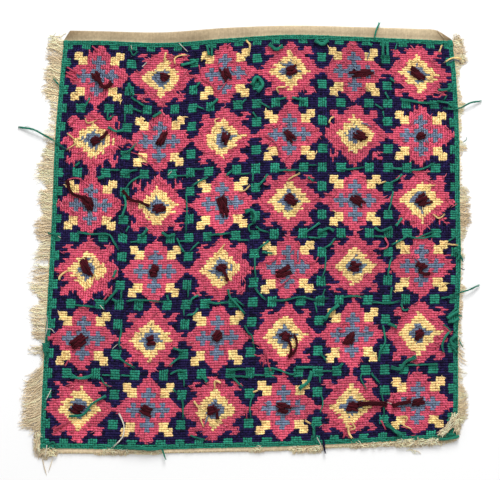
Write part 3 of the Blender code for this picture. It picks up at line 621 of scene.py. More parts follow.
class NeedlepointStage(bpy.types.PropertyGroup):
    """Camera and light"""
    view_width: length_setting("View width", "Width of what the camera sees", 0.5)
    camera_height: length_setting("Camera height", "Height of the camera over the floor", 2.4)
    key_power: bpy.props.FloatProperty(name="Key power", description="Power of the main soft light",
                                       default=94.0, min=0.0, unit="POWER")
    fill: bpy.props.FloatProperty(name="Fill", description="Brightness of the surroundings", default=0.72,
                                  min=0.0)


# Building meshes


def new_piece(name, mesh, *materials):
    for material in materials:
        mesh.materials.append(material)
    piece = bpy.data.objects.new(name, mesh)
    bpy.context.scene.collection.objects.link(piece)
    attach(piece, "root")
    return piece


def mesh_of(bm, name, smooth=True):
    mesh = bpy.data.meshes.new(name)
    bm.to_mesh(mesh)
    bm.free()
    if smooth:
        mesh.shade_smooth()
    return mesh


def cut_across(bm, x):
    """A ring of points round everything, in the plane at x."""
    everything = bm.verts[:] + bm.edges[:] + bm.faces[:]
    bmesh.ops.bisect_plane(bm, geom=everything, plane_co=(x, 0, 0), plane_no=(1, 0, 0))


def stitch_mesh():
    """One stitch: a three-sided bar of unit length along X, unit width and unit height, lower at its ends."""
    bm = bmesh.new()
    bmesh.ops.create_cone(bm, cap_ends=True, segments=3, radius1=0.5, radius2=0.5, depth=1.0)
    bmesh.ops.rotate(bm, verts=bm.verts, matrix=Matrix.Rotation(math.radians(120), 3, (1, 1, 1)))
    cut_across(bm, 0.0)
    base, crest = min(point.co.z for point in bm.verts), max(point.co.z for point in bm.verts)
    wide = max(point.co.y for point in bm.verts)
    for point in bm.verts:
        at_end = round(2 * point.co.x) != 0
        end_width, end_height = STITCH_END if at_end else (1.0, 1.0)
        point.co.y *= (0.5 / wide) * end_width
        point.co.z = (point.co.z - base) / (crest - base) * end_height
    return mesh_of(bm, "one stitch")


def strand_mesh(rings, sides=4):
    """One strand: a tube of unit length along X and unit radius, with its rings in even steps."""
    bm = bmesh.new()
    bmesh.ops.create_cone(bm, cap_ends=True, segments=sides, radius1=1.0, radius2=1.0, depth=1.0)
    bmesh.ops.rotate(bm, verts=bm.verts, matrix=Matrix.Rotation(math.radians(90), 3, "Y"))
    bmesh.ops.translate(bm, verts=bm.verts, vec=(0.5, 0, 0))
    for ring in range(1, rings - 1):
        cut_across(bm, ring / (rings - 1))
    return mesh_of(bm, "one strand")


def framed(base, frames):
    """A base mesh's points, once through each of many 3 by 4 frames."""
    points = np.array([point.co for point in base.vertices])
    return np.einsum("kij,nj->kni", frames[:, :, :3], points) + frames[:, None, :, 3]


def unit(vectors):
    return vectors / (np.linalg.norm(vectors, axis=-1, keepdims=True) + 1e-12)


def swept(base, paths, radii):
    """A strand's points, once along each of many paths with a place and a radius for every ring."""
    points = np.array([point.co for point in base.vertices])
    ring = np.rint(points[:, 0] * (paths.shape[1] - 1)).astype(int)
    ahead = unit(np.gradient(paths, axis=1))
    beside = unit(np.cross(ahead, (0.0, 0.0, 1.0)))
    above = np.cross(beside, ahead)
    offsets = points[None, :, 1:2] * beside[:, ring] + points[None, :, 2:3] * above[:, ring]
    return paths[:, ring] + radii[:, ring, None] * offsets


def joined_copies(name, base, placed, colours):
    """One mesh of many copies of a base mesh, from the points and the colour of each."""
    corners = np.array([corner.vertex_index for corner in base.loops])
    starts = np.array([face.loop_start for face in base.polygons])
    copies, points = placed.shape[:2]
    mesh = bpy.data.meshes.new(name)
    mesh.vertices.add(copies * points)
    mesh.vertices.foreach_set("co", placed.astype(np.float32).ravel())
    mesh.loops.add(copies * len(corners))
    step = np.arange(copies)[:, None]
    mesh.loops.foreach_set("vertex_index", (corners[None, :] + step * points).astype(np.int32).ravel())
    mesh.polygons.add(copies * len(starts))
    mesh.polygons.foreach_set("loop_start", (starts[None, :] + step * len(corners)).astype(np.int32).ravel())
    shades = mesh.color_attributes.new("yarn_colour", "FLOAT_COLOR", "POINT")
    tints = np.concatenate([colours, np.ones((copies, 1))], axis=1)
    shades.data.foreach_set("color", np.repeat(tints, points, axis=0).astype(np.float32).ravel())
    mesh.update(calc_edges=True)
    mesh.shade_smooth()
    return mesh


def strand_piece(name, paths, radii, colours, finish, sides=4):
    """A piece of many strands; every path has the same number of places."""
    paths = np.array(paths)
    radii = np.array([np.broadcast_to(radius, paths.shape[1]) for radius in radii])
    base = strand_mesh(paths.shape[1], sides)
    return new_piece(name, joined_copies(name, base, swept(base, paths, radii), np.array(colours)), finish)


def smooth_route(route, count):
    """Points in even steps on a smooth curve through a route's own points."""
    rows = [(index, *point) for index, point in enumerate(route)]
    stations = np.linspace(0, len(route) - 1, count)
    return np.stack([smooth_column(rows, axis + 1, stations) for axis in range(len(route[0]))], axis=-1)


def curled(start, heading, length, curl, rings, chance):
    """A flat path of even steps that sets out along a heading and wanders more and more.

    The heading is one angle, or an angle for every ring."""
    f = np.linspace(0, 1, rings)
    angle = heading + np.zeros(rings)
    for spread, low, high in ((0.6, 0.5, 1.1), (0.4, 1.2, 2.4)):
        bend = curl * chance.gauss(0, spread) * f
        angle += bend * np.sin(math.tau * (chance.uniform(low, high) * f + chance.random()))
    steps = np.stack([np.cos(angle), np.sin(angle)], axis=-1)[1:] * length / (rings - 1)
    return np.asarray(start) + np.concatenate([np.zeros((1, 2)), np.cumsum(steps, axis=0)])


def plied_strands(points, radius, chance):
    """Paths and radii of the strands twisted round one path; radius is the whole yarn's.

    The strands swell and shrink along the yarn and part a little at its ends."""
    plies = 3 if radius < THICK_YARN else 7
    ahead = unit(np.gradient(points, axis=0))
    beside = unit(np.cross(ahead, (0.0, 0.0, 1.0)))
    above = np.cross(beside, ahead)
    steps = np.linspace(0, 1, len(points))
    start = chance.uniform(0, math.tau)
    paths, radii = [], []
    for ply in range(plies):
        angle = start + math.tau * (ply / plies + PLY_TURNS * steps)
        parting = 1 + 0.8 * np.abs(2 * steps - 1)**4 * chance.uniform(0.0, 1.6)
        swing = (radius * 0.55 * chance.uniform(0.7, 1.2) * parting)[:, None]
        path = points + swing * (np.cos(angle)[:, None] * beside + 0.7 * np.sin(angle)[:, None] * above)
        path[:, 2] = np.maximum(path[:, 2], radius * 0.5)
        swell = 1 + 0.22 * np.sin(chance.uniform(0, math.tau) + chance.uniform(5, 11) * steps)
        paths.append(path)
        radii.append(radius * PLY_SHARE[plies] * swell * np.interp(steps, *PLY_TAPER[plies]))
    return paths, radii


def hair_strands(points, radius, count, chance):
    """Paths and radii of fine hairs that leave a yarn at random places and lie near it."""
    paths, radii = [], []
    f = np.linspace(0, 1, HAIR_RINGS)
    for _ in range(count):
        start = chance.uniform(0, 0.9)
        stretch = chance.uniform(0.1, 0.3)
        stations = np.clip(start + stretch * f, 0, 1) * (len(points) - 1)
        path = np.stack([np.interp(stations, np.arange(len(points)), along) for along in points.T], axis=-1)
        away = chance.uniform(0, math.tau)
        reach = radius * chance.uniform(0.8, 2.6)
        path[:, 0] += reach * math.cos(away) * f**1.5
        path[:, 1] += reach * math.sin(away) * f**1.5
        path[:, 2] += radius * chance.uniform(-0.4, 0.7)
        paths.append(path)
        radii.append(HAIR_RADIUS * np.interp(f, (0, 1), (1, 0.5)))
    return paths, radii


# Materials


def add_node(tree, kind, values=None, **properties):
    """A node with its properties and its sockets' values set; a value can be another's output."""
    node = tree.nodes.new(kind)
    for name, value in properties.items():
        setattr(node, name, value)
    for name, value in (values or {}).items():
        if isinstance(value, bpy.types.NodeSocket):
            tree.links.new(value, node.inputs[name])
        else:
            node.inputs[name].default_value = value
    return node


def reckoned(tree, operation, *values):
    return add_node(tree, "ShaderNodeMath", dict(enumerate(values)), operation=operation).outputs[0]


def vector(tree, operation, values):
    return add_node(tree, "ShaderNodeVectorMath", values, operation=operation).outputs[0]


def ranged(tree, value, low, high, out_low, out_high):
    """A value carried over from one range to another."""
    return add_node(tree, "ShaderNodeMapRange", {"Value": value, "From Min": low, "From Max": high,
                                                 "To Min": out_low, "To Max": out_high}).outputs["Result"]


def noise(tree, place, scale, detail, roughness=0.5):
    return add_node(tree, "ShaderNodeTexNoise", {"Vector": place, "Scale": scale, "Detail": detail,
                                                 "Roughness": roughness}).outputs["Fac"]


def wool_relief(group, fibre_scale, fading):
    """Worsted wool: fibres, slow fading and a little soiling."""
    place = add_node(group, "ShaderNodeTexCoord").outputs["Object"]
    fibres = noise(group, place, fibre_scale, 3.0, 0.65)
    most_faded = reckoned(group, "SUBTRACT", 1.0, fading)
    faded = ranged(group, noise(group, place, 22.0, 2.0), 0.3, 0.7, most_faded, 1.0)
    return reckoned(group, "MULTIPLY", ranged(group, fibres, 0.3, 0.7, 0.82, 1.14), faded), fibres


def weave_relief(group, pitch):
    """Plain woven canvas: two sets of uneven threads over and under each other."""
    place = add_node(group, "ShaderNodeTexCoord").outputs["Object"]
    parts = add_node(group, "ShaderNodeSeparateXYZ", {"Vector": place})
    turns = reckoned(group, "DIVIDE", math.pi, pitch)
    weave = noise(group, vector(group, "MULTIPLY", {0: place, 1: (900.0, 90.0, 90.0)}), 1.0, 1.0)
    for axis in ("X", "Y"):
        wave = reckoned(group, "SINE", reckoned(group, "MULTIPLY", parts.outputs[axis], turns))
        weave = reckoned(group, "MULTIPLY", weave, reckoned(group, "ABSOLUTE", wave))
    # The canvas is painted darker where its threads dip and lighter on their crests: painted shade and
    # highlight of the weave.
    tone = ranged(group, weave, 0.0, 0.6, 0.7, 1.25)
    for scale, detail, lightest in ((420.0, 2.0, 1.1), (40.0, 3.0, 1.08)):
        uneven = ranged(group, noise(group, place, scale, detail), 0.3, 0.7, 0.88, lightest)
        tone = reckoned(group, "MULTIPLY", tone, uneven)
    return tone, weave


def cross_relief(group):
    """The neat face of cross stitch: two arms of yarn over each square of the UV map's grid."""
    grid = add_node(group, "ShaderNodeUVMap", uv_map="stitch_grid").outputs["UV"]
    squares = vector(group, "SCALE", {0: grid, "Scale": float(STITCHES)})
    parts = add_node(group, "ShaderNodeSeparateXYZ", {"Vector": vector(group, "FRACTION", {0: squares})})
    x, y = parts.outputs["X"], parts.outputs["Y"]
    rising = reckoned(group, "SUBTRACT", x, y)
    falling = reckoned(group, "SUBTRACT", reckoned(group, "ADD", x, y), 1.0)
    arms = [ranged(group, reckoned(group, "ABSOLUTE", away), 0.0, 0.42, top, 0.0)
            for away, top in ((rising, 1.0), (falling, 0.75))]
    height = reckoned(group, "MAXIMUM", *arms)
    # The colour darkens between the arms and on the lower arm: painted shade.
    return ranged(group, height, 0.0, 0.7, 0.35, 1.0), height


# What gives each node group its tone and height, and the values of its own inputs.
RELIEFS = {
    "Worsted wool": (wool_relief, {"Fibre scale": 1600.0, "Fading": 0.1}),
    "Plain canvas weave": (weave_relief, {"Thread pitch": 1.1 * MM}),
    "Cross stitch face": (cross_relief, {}),
}


def shared_group(name):
    """A node group that shades a colour and gives a height."""
    group = bpy.data.node_groups.get(name)
    if group:
        return group
    group = bpy.data.node_groups.new(name, "ShaderNodeTree")
    relief, inputs = RELIEFS[name]
    sockets = group.interface
    sockets.new_socket(name="Colour", in_out="INPUT", socket_type="NodeSocketColor")
    for label, value in inputs.items():
        sockets.new_socket(name=label, in_out="INPUT", socket_type="NodeSocketFloat").default_value = value
    for label, kind in (("Colour", "NodeSocketColor"), ("Height", "NodeSocketFloat")):
        sockets.new_socket(name=label, in_out="OUTPUT", socket_type=kind)
    start = add_node(group, "NodeGroupInput")
    tone, height = relief(group, *(start.outputs[label] for label in inputs))
    shaded = vector(group, "SCALE", {0: start.outputs["Colour"], "Scale": tone})
    add_node(group, "NodeGroupOutput", {"Colour": shaded, "Height": height})
    return group


def matt_material(name, colour, roughness, specular):
    """A plain matt material, its node tree and its shader."""
    material = bpy.data.materials.new(name)
    material.use_nodes = True
    shader = material.node_tree.nodes["Principled BSDF"]
    shader.inputs["Base Color"].default_value = colour
    shader.inputs["Roughness"].default_value = roughness
    shader.inputs["Specular IOR Level"].default_value = specular
    return material, material.node_tree, shader


def cloth_material(name, group="Worsted wool", values=None, bump=0.3 * MM):
    """A cloth material: the colour painted on each stitch or strand, through a group, on one shader."""
    if name in bpy.data.materials:
        return bpy.data.materials[name]
    material, tree, shader = matt_material(name, (0.5, 0.5, 0.5, 1.0), 0.9, 0.15)
    painted = add_node(tree, "ShaderNodeAttribute", attribute_name="yarn_colour").outputs["Color"]
    finish = add_node(tree, "ShaderNodeGroup", {"Colour": painted, **(values or {})},
                      node_tree=shared_group(group))
    relief = add_node(tree, "ShaderNodeBump", {"Height": finish.outputs["Height"], "Distance": bump,
                                               "Strength": 0.6})
    tree.links.new(finish.outputs["Colour"], shader.inputs["Base Color"])
    tree.links.new(relief.outputs["Normal"], shader.inputs["Normal"])
    return material


def wool_material():
    return cloth_material("worsted wool")


def thread_material():
    return cloth_material("ravelled thread", values={"Fibre scale": 2200.0, "Fading": 0.22})


# The operators, one for each group of pieces


class NEEDLEPOINT_OT_canvas(bpy.types.Operator):
    """Lay the canvas: the ground under the stitches, its margins and its folded strip"""
    bl_idname = "needlepoint.canvas"
    bl_label = "Canvas"

    def execute(self, context):
        wools = context.scene.needlepoint_wools
        inner = [float(line) for line in range(0, STITCHES + 1, GRID_STEP)]
        columns = [-1.0] + inner + [STITCHES + 1.0]
        rows = [row for row, _ in HEM_PROFILE] + inner + [STITCHES + row for row, _ in FOOT_PROFILE]
        heights = ([height for _, height in HEM_PROFILE] + [GROUND_TOP] * len(inner)
                   + [height for _, height in FOOT_PROFILE])
        places = cloth_places(np.array(columns)[:, None], np.array(rows)[None, :])
        rise = pucker(places)
        bm = bmesh.new()
        bmesh.ops.create_grid(bm, x_segments=len(columns) - 1, y_segments=len(rows) - 1, size=0.5)
        line = bm.verts.layers.int.new("line")
        for point in bm.verts:
            i = round((point.co.x + 0.5) * (len(columns) - 1))
            j = round((point.co.y + 0.5) * (len(rows) - 1))
            point.co = (*places[i, j], 0.0)
            point[line] = i * len(rows) + j
        top = bmesh.ops.extrude_face_region(bm, geom=bm.faces[:])["geom"]
        for point in top:
            if isinstance(point, bmesh.types.BMVert):
                i, j = divmod(point[line], len(rows))
                at_side = i in (0, len(columns) - 1) and 0 <= rows[j] <= STITCHES
                point.co.z = (CANVAS_THICK if at_side else heights[j]) + 0.5 * rise[i, j]
        bmesh.ops.recalc_face_normals(bm, faces=bm.faces)
        bm.faces.sort(key=lambda face: self.face_order(face, line, len(columns) * len(rows)))
        self.paint(bm, line, columns, rows, wools)
        piece = new_piece("canvas_cloth", mesh_of(bm, "canvas_cloth"),
                          cloth_material("bare canvas", "Plain canvas weave"),
                          cloth_material("ground under the stitches"),
                          cloth_material("neat face", "Cross stitch face", bump=0.8 * MM))
        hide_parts("panel")
        return {"FINISHED"}

    def face_order(self, face, line, count):
        """A number for each face, since the extrusion makes the side faces in any order."""
        lines = [point[line] for point in face.verts]
        return (min(lines) * count + max(lines)) * 2 + int(face.normal.z > 0)

    def paint(self, bm, line, columns, rows, wools):
        """Colours and materials of the faces: bare canvas, ground, and the neat face below.

        The ground between the stitches is painted with shade: the darkest of the darkened wools round it."""
        colours = bm.loops.layers.float_color.new("yarn_colour")
        grid = bm.loops.layers.uv.new("stitch_grid")
        neat, _ = yarn_chart()
        ragged, _ = yarn_chart(np.random.default_rng(bpy.context.scene.needlepoint_stitches.seed))
        shades = wool_shades(wools)
        places, outer, inner = zip(*HEM_SOIL_AND_SHADE)
        # Painted shade for the gaps between stitches: each wool darkened, each corner of the ground the
        # darkest round it.
        squares = np.array([[shades[letter] * PAINTED_GROUND_SHADE[letter] for letter in letters]
                            for letters in ragged[1::GRID_STEP, 1::GRID_STEP]])
        squares = np.pad(squares, ((1, 1), (1, 1), (0, 0)), mode="edge")
        ground = np.minimum(squares[1:], squares[:-1])
        ground = np.minimum(ground[:, 1:], ground[:, :-1])
        for face in bm.faces:
            spots = [divmod(point[line], len(rows)) for point in face.verts]
            column = sum(columns[i] for i, _ in spots) / len(spots)
            row = sum(rows[j] for _, j in spots) / len(spots)
            in_field = 0 < column < STITCHES and 0 < row < STITCHES and abs(face.normal.z) > 0.5
            below = face.normal.z < -0.5
            if in_field:
                shade = shades[neat[int(row), int(column)]]
                face.material_index = NEAT if below else GROUND
            else:
                face.material_index = BARE
            for corner in face.loops:
                i, j = divmod(corner.vert[line], len(rows))
                if in_field and not below:
                    shade = ground[int(rows[j]) // GRID_STEP, int(columns[i]) // GRID_STEP]
                elif not in_field:
                    share = float(np.clip(-rows[j] / HEM_INNER, 0, 1))
                    # The hem: canvas browned by its soiling and by painted shade of its fold and creases.
                    if rows[j] <= 0:
                        soil_and_shade = (share * np.interp(columns[i], places, outer)
                                + (1 - share) * np.interp(columns[i], places, inner))
                        shade = np.array(wools.canvas) * (1 - soil_and_shade) + np.array(wools.stain_and_shade) * soil_and_shade
                    else:
                        # The foot: browner towards its edge, painted shade.
                        shade = browned(wools, np.interp(rows[j] - STITCHES, *FOOT_PAINTED_SHADE), 1.0)
                corner[colours] = (*shade, 1.0)
                corner[grid].uv = (columns[i] / STITCHES, rows[j] / STITCHES)


def browned(wools, brown, tone):
    """A ravelled thread's colour: browned and made lighter or darker, for stains and for painted shade and
    light alike.
    """
    brown = min(1.0, max(0.0, brown))
    return np.clip((np.array(wools.thread) * (1 - brown) + np.array(wools.stain_and_shade) * brown) * tone, 0, 1)


def wool_shades(wools):
    """The colours of the charts' wools, by letter."""
    return {"N": np.array(wools.navy), "R": np.array(wools.rose), "Y": np.array(wools.gold),
            "B": np.array(wools.blue), "G": np.array(wools.green), "M": np.array(wools.maroon)}


def gives(chart, rows, columns, upright):
    """How far each stitch gives way at its start, its end and its two sides, in stitches."""
    push = np.pad(np.vectorize(PUSH.get)(chart), 1, mode="edge")
    here = push[rows + 1, columns + 1]
    left, right = push[rows + 1, columns] - here, push[rows + 1, columns + 2] - here
    above, below = push[rows, columns + 1] - here, push[rows + 2, columns + 1] - here
    return (np.where(upright, above, left), np.where(upright, below, right),
            SIDE_PUSH * np.where(upright, left, below), SIDE_PUSH * np.where(upright, right, above))


def stitch_frames(columns, rows, upright, settings, chance, share=1.0, tilt=0.0, give=(0, 0, 0, 0)):
    """The 3 by 4 frames of stitches centred at columns and rows; share narrows them across."""
    centres = field_places(columns, rows)
    across = field_places(columns + 0.5, rows) - field_places(columns - 0.5, rows)
    down = field_places(columns, rows + 0.5) - field_places(columns, rows - 0.5)
    flag = upright[:, None]
    run, side = np.where(flag, down, across), np.where(flag, across, -down)
    long, wide = np.linalg.norm(run, axis=1), np.linalg.norm(side, axis=1)
    count = len(columns)
    vary = settings.unevenness
    angle = np.arctan2(run[:, 1], run[:, 0]) + tilt + chance.normal(0, TURN_VARIES * vary, count)
    slide = (chance.normal(0, vary, count) + (give[0] - give[1]) / 2) * long
    shift = (chance.normal(0, PLACE_VARIES * vary, count) + (give[2] - give[3]) / 2) * wide
    long = long * (settings.length * (1 + chance.normal(0, vary, count)) - give[0] - give[1])
    varied = settings.width * share * (1 + chance.normal(0, WIDTH_VARIES * vary, count))
    width = wide * (varied - give[2] - give[3])
    height = settings.height * (1 + chance.normal(0, vary, count))
    frames = np.zeros((count, 3, 4))
    frames[:, 0, 0], frames[:, 1, 0] = np.cos(angle) * long, np.sin(angle) * long
    frames[:, 0, 1], frames[:, 1, 1] = -np.sin(angle) * width, np.cos(angle) * width
    frames[:, 2, 2] = height
    frames[:, :2, 3] = centres + unit(run) * slide[:, None] + unit(side) * shift[:, None]
    frames[:, 2, 3] = WORKED_THICK - settings.height + pucker(centres)
    return frames


def varied_shades(letters, shades, chance):
    """A colour for each stitch: its wool's, a little lighter or darker."""
    base = np.array([shades[letter] for letter in letters])
    spread = np.where(np.array(list(letters)) == "N", NAVY_TONE, WOOL_TONE)
    tone = np.clip(1 + chance.normal(0, spread), *TONE_LIMITS)[:, None]
    return np.clip(base * tone * (1 + chance.normal(0, HUE, (len(letters), 3))), 0, 1)


class NEEDLEPOINT_OT_stitches(bpy.types.Operator):
    """Work the field: the wrong side of every cross stitch, one row of stars to a piece"""
    bl_idname = "needlepoint.stitches"
    bl_label = "Stitches"

    def execute(self, context):
        settings = context.scene.needlepoint_stitches
        shades = wool_shades(context.scene.needlepoint_wools)
        chart, upright = yarn_chart(np.random.default_rng(settings.seed))
        base = stitch_mesh()
        finish = wool_material()
        chance = np.random.default_rng(settings.seed)
        untidy = np.array([[int(mark) for mark in line] for line in UNTIDY])
        lobes = (MOTIFS, MOTIFS, len(LOBES))
        turns = chance.normal(0, settings.tilt, lobes) * (TIDY_TILT + untidy[:, :, None])
        tones = 1 + chance.normal(0, STAR_TONE, (MOTIFS, MOTIFS, 1)) + chance.normal(0, LOBE_TONE, lobes)
        squares = chance.normal(0, 1, (2, STITCHES, STITCHES))
        for star_row in range(MOTIFS):
            first = BAND + REPEAT * star_row
            rows, columns = (grid.ravel() for grid in np.mgrid[first:first + REPEAT, BAND:STITCHES - BAND])
            star_column, across = np.divmod(columns - BAND, REPEAT)
            lobe = lobe_of(across + 0.5 - REPEAT / 2, rows - first + 0.5 - REPEAT / 2)
            letters = chart[rows, columns]
            worked = letters != "N"
            stands = upright[rows, columns]
            square = tuple(np.rint((lines - BAND + 0.5) / SQUARE_PITCH).astype(int)
                           for lines in (rows, columns))
            tilt = np.select([letters == "G", worked],
                             [squares[0][square] * settings.square_tilt, turns[star_row, star_column, lobe]],
                             chance.normal(0, settings.ground_tilt, len(rows)))
            frames = stitch_frames(columns + 0.5, rows + 0.5, stands, settings, chance, tilt=tilt,
                                   give=gives(chart, rows, columns, stands))
            colours = varied_shades(letters, shades, chance)
            tone = np.select([letters == "G", worked],
                             [1 + SQUARE_TONE * squares[1][square], tones[star_row, star_column, lobe]], 1.0)
            colours *= tone[:, None]
            name = f"stitches_{star_row + 1}"
            piece = new_piece(name, joined_copies(name, base, framed(base, frames), colours), finish)
        self.border(settings, shades, base, finish)
        return {"FINISHED"}

    def border(self, settings, shades, base, finish):
        """The band's stitches run along it, in a few ridges."""
        chance = np.random.default_rng(settings.seed + MOTIFS)
        along = np.arange(STITCHES) + 0.5
        columns, rows, upright = [], [], []
        for ridge in range(BORDER_RIDGES):
            near = (ridge + 0.5) * BAND / BORDER_RIDGES
            for side in (near, STITCHES - near):
                columns += [along, np.full(STITCHES, side)]
                rows += [np.full(STITCHES, side), along]
                upright += [np.zeros(STITCHES, dtype=bool), np.ones(STITCHES, dtype=bool)]
        columns, rows, upright = np.concatenate(columns), np.concatenate(rows), np.concatenate(upright)
        frames = stitch_frames(columns, rows, upright, settings, chance, share=BAND / BORDER_RIDGES)
        frames[:, 2, 3] += BAND_RISE
        colours = varied_shades("G" * len(columns), shades, chance)
        name = "border_stitches"
        piece = new_piece(name, joined_copies(name, base, framed(base, frames), colours), finish)


class NEEDLEPOINT_OT_loose_stitches(bpy.types.Operator):
    """Scatter the short strands that have worked loose over the stars"""
    bl_idname = "needlepoint.loose_stitches"
    bl_label = "Loose stitches"

    radius: length_setting("Radius", "Radius of one loose strand", 0.55 * MM)
    length: length_setting("Length", "Usual length of a loose strand", 5.0 * MM)

    def execute(self, context):
        settings = context.scene.needlepoint_stitches
        shades = wool_shades(context.scene.needlepoint_wools)
        chart, upright = yarn_chart(np.random.default_rng(settings.seed))
        chance = np.random.default_rng(settings.seed + 1)
        paths, radii, colours = [], [], []
        for star_row in range(MOTIFS):
            for star_column in range(MOTIFS):
                untidy = int(UNTIDY[star_row][star_column])
                for _ in range(settings.loose + settings.loose_more * untidy):
                    column, row = (BAND + REPEAT * (star + chance.random())
                                   for star in (star_column, star_row))
                    letter = chart[int(row), int(column)]
                    if letter not in "RYB":
                        continue
                    spread = math.radians(12 + 14 * untidy)
                    turned = math.pi / 2 if upright[int(row), int(column)] else 0
                    heading = chance.normal(0, spread) + turned
                    path = self.strand(field_places(column, row), heading, chance)
                    paths.append(path)
                    radii.append(self.radius * chance.uniform(0.7, 1.15) * np.array((0.6, 1, 1, 1, 0.5)))
                    tinted = shades[letter] * chance.uniform(0.75, 1.15) + chance.uniform(0, 0.07)
                    colours.append(np.clip(tinted, 0, 1))
        piece = strand_piece("loose_stitches", paths, radii, colours, wool_material(), sides=3)
        return {"FINISHED"}

    def strand(self, middle, heading, chance):
        """A strand's path: its ends lie at the cloth's face and its middle stands a little clear."""
        f = np.linspace(-1, 1, STRAND_POINTS)
        reach = self.length * chance.uniform(0.6, 1.5) / 2
        bend = chance.normal(0, 0.12) * reach * (1 - f**2)
        along, beside = reach * f, bend
        flat = middle + np.stack([math.cos(heading) * along - math.sin(heading) * beside,
                                  math.sin(heading) * along + math.cos(heading) * beside], axis=-1)
        height = surface_height(middle) - 0.1 * MM + chance.uniform(0.3, 0.9) * MM * (1 - f**2)
        return np.concatenate([flat, height[:, None]], axis=1)


class NEEDLEPOINT_OT_knots(bpy.types.Operator):
    """Tie the knots of cut yarn at the stars' middles"""
    bl_idname = "needlepoint.knots"
    bl_label = "Knots"

    strands: count_setting("Strands", "Cut ends in each knot", 22)

    def execute(self, context):
        chance = random.Random(KNOT_SEED)
        maroon = np.array(context.scene.needlepoint_wools.maroon)
        strands = []
        for row, knots in enumerate(KNOTS):
            for column, (x, y, length, width, turn) in enumerate(knots):
                centre = star_centre(row, column) + np.array((x, y)) * MM
                for index in range(self.strands):
                    strands.append(self.end(centre, length * MM, width * MM, math.radians(turn), chance))
        paths, radii = zip(*strands)
        colours = [maroon * chance.uniform(0.5, 1.4) for _ in strands]
        piece = strand_piece("knots", paths, radii, colours, wool_material())
        return {"FINISHED"}

    def end(self, centre, length, width, turn, chance):
        """One cut end: it rises, bends over and lies along the knot."""
        start = chance.uniform(-0.45, 0.1) * length
        reach = chance.uniform(0.36, 0.58) * length
        side = chance.uniform(-0.48, 0.48) * width
        bend = chance.uniform(-0.25, 0.25) * width
        crown = chance.uniform(0.4, 2.2) * MM * (1 - 1.2 * abs(side) / width)
        f = np.linspace(0, 1, STRAND_POINTS)
        along, across = start + reach * f, side + bend * (f - 0.5)
        if chance.random() < 0.5:
            along = -along
        flat = np.stack([centre[0] + math.cos(turn) * along - math.sin(turn) * across,
                         centre[1] + math.sin(turn) * along + math.cos(turn) * across], axis=-1)
        height = surface_height(centre) + crown * np.sin(math.pi * (0.15 + 0.65 * f))
        return np.concatenate([flat, height[:, None]], axis=1), KNOT_YARN * chance.uniform(0.8, 1.15)


class NEEDLEPOINT_OT_yarns(bpy.types.Operator):
    """Lay the yarns carried across the back and the long loose ends"""
    bl_idname = "needlepoint.yarns"
    bl_label = "Yarns"

    hair_spacing: length_setting("Hair spacing", "Length of yarn for each hair that stands away from it",
                                 3.0 * MM)

    def execute(self, context):
        wools = context.scene.needlepoint_wools
        chance = random.Random(YARN_SEED)
        hairs = [], [], []
        for wool, floats in FLOATS.items():
            shade = np.array(getattr(wools, wool))
            ends = [end for end in YARN_ENDS if end[1] == wool]
            laid = [end[2:] for end in ends]
            laid += [(radius, 0.0, 0.0, list(zip(line[::2], line[1::2]))) for radius, *line in floats]
            paths, radii, colours = [], [], []
            for radius, lift_first, lift_last, route in laid:
                points = self.laid(route, radius * MM, lift_first * MM, lift_last * MM)
                tone = chance.uniform(0.72, 1.02)
                length = float(np.linalg.norm(np.diff(points, axis=0), axis=1).sum())
                strands = plied_strands(points, radius * MM, chance)
                fuzz = hair_strands(points, radius * MM, int(length / self.hair_spacing), chance)
                for (more_paths, more_radii), (all_paths, all_radii, all_colours) in (
                        (strands, (paths, radii, colours)), (fuzz, hairs)):
                    all_paths += more_paths
                    all_radii += more_radii
                    all_colours += [shade * tone * chance.uniform(0.85, 1.15) for _ in more_paths]
            piece = strand_piece(f"yarns_{wool}", paths, radii, colours, wool_material(), sides=3)
            if ends:
                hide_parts(*(node for node, *_ in ends))
        strand_piece("yarn_hairs", *hairs, wool_material(), sides=3)
        return {"FINISHED"}

    def laid(self, route, radius, lift_first, lift_last):
        """A yarn's path on the cloth's face; the lifts raise or lower the third of it at each end."""
        flat = smooth_route(route, ROUTE_POINTS) * MM
        steps = np.linspace(0, 1, len(flat))
        lift = lift_first * np.clip(1 - 3 * steps, 0, 1) + lift_last * np.clip(3 * steps - 2, 0, 1)
        heights = np.array([surface_height(place) for place in flat]) + 0.8 * radius + lift
        return np.concatenate([flat, heights[:, None]], axis=1)


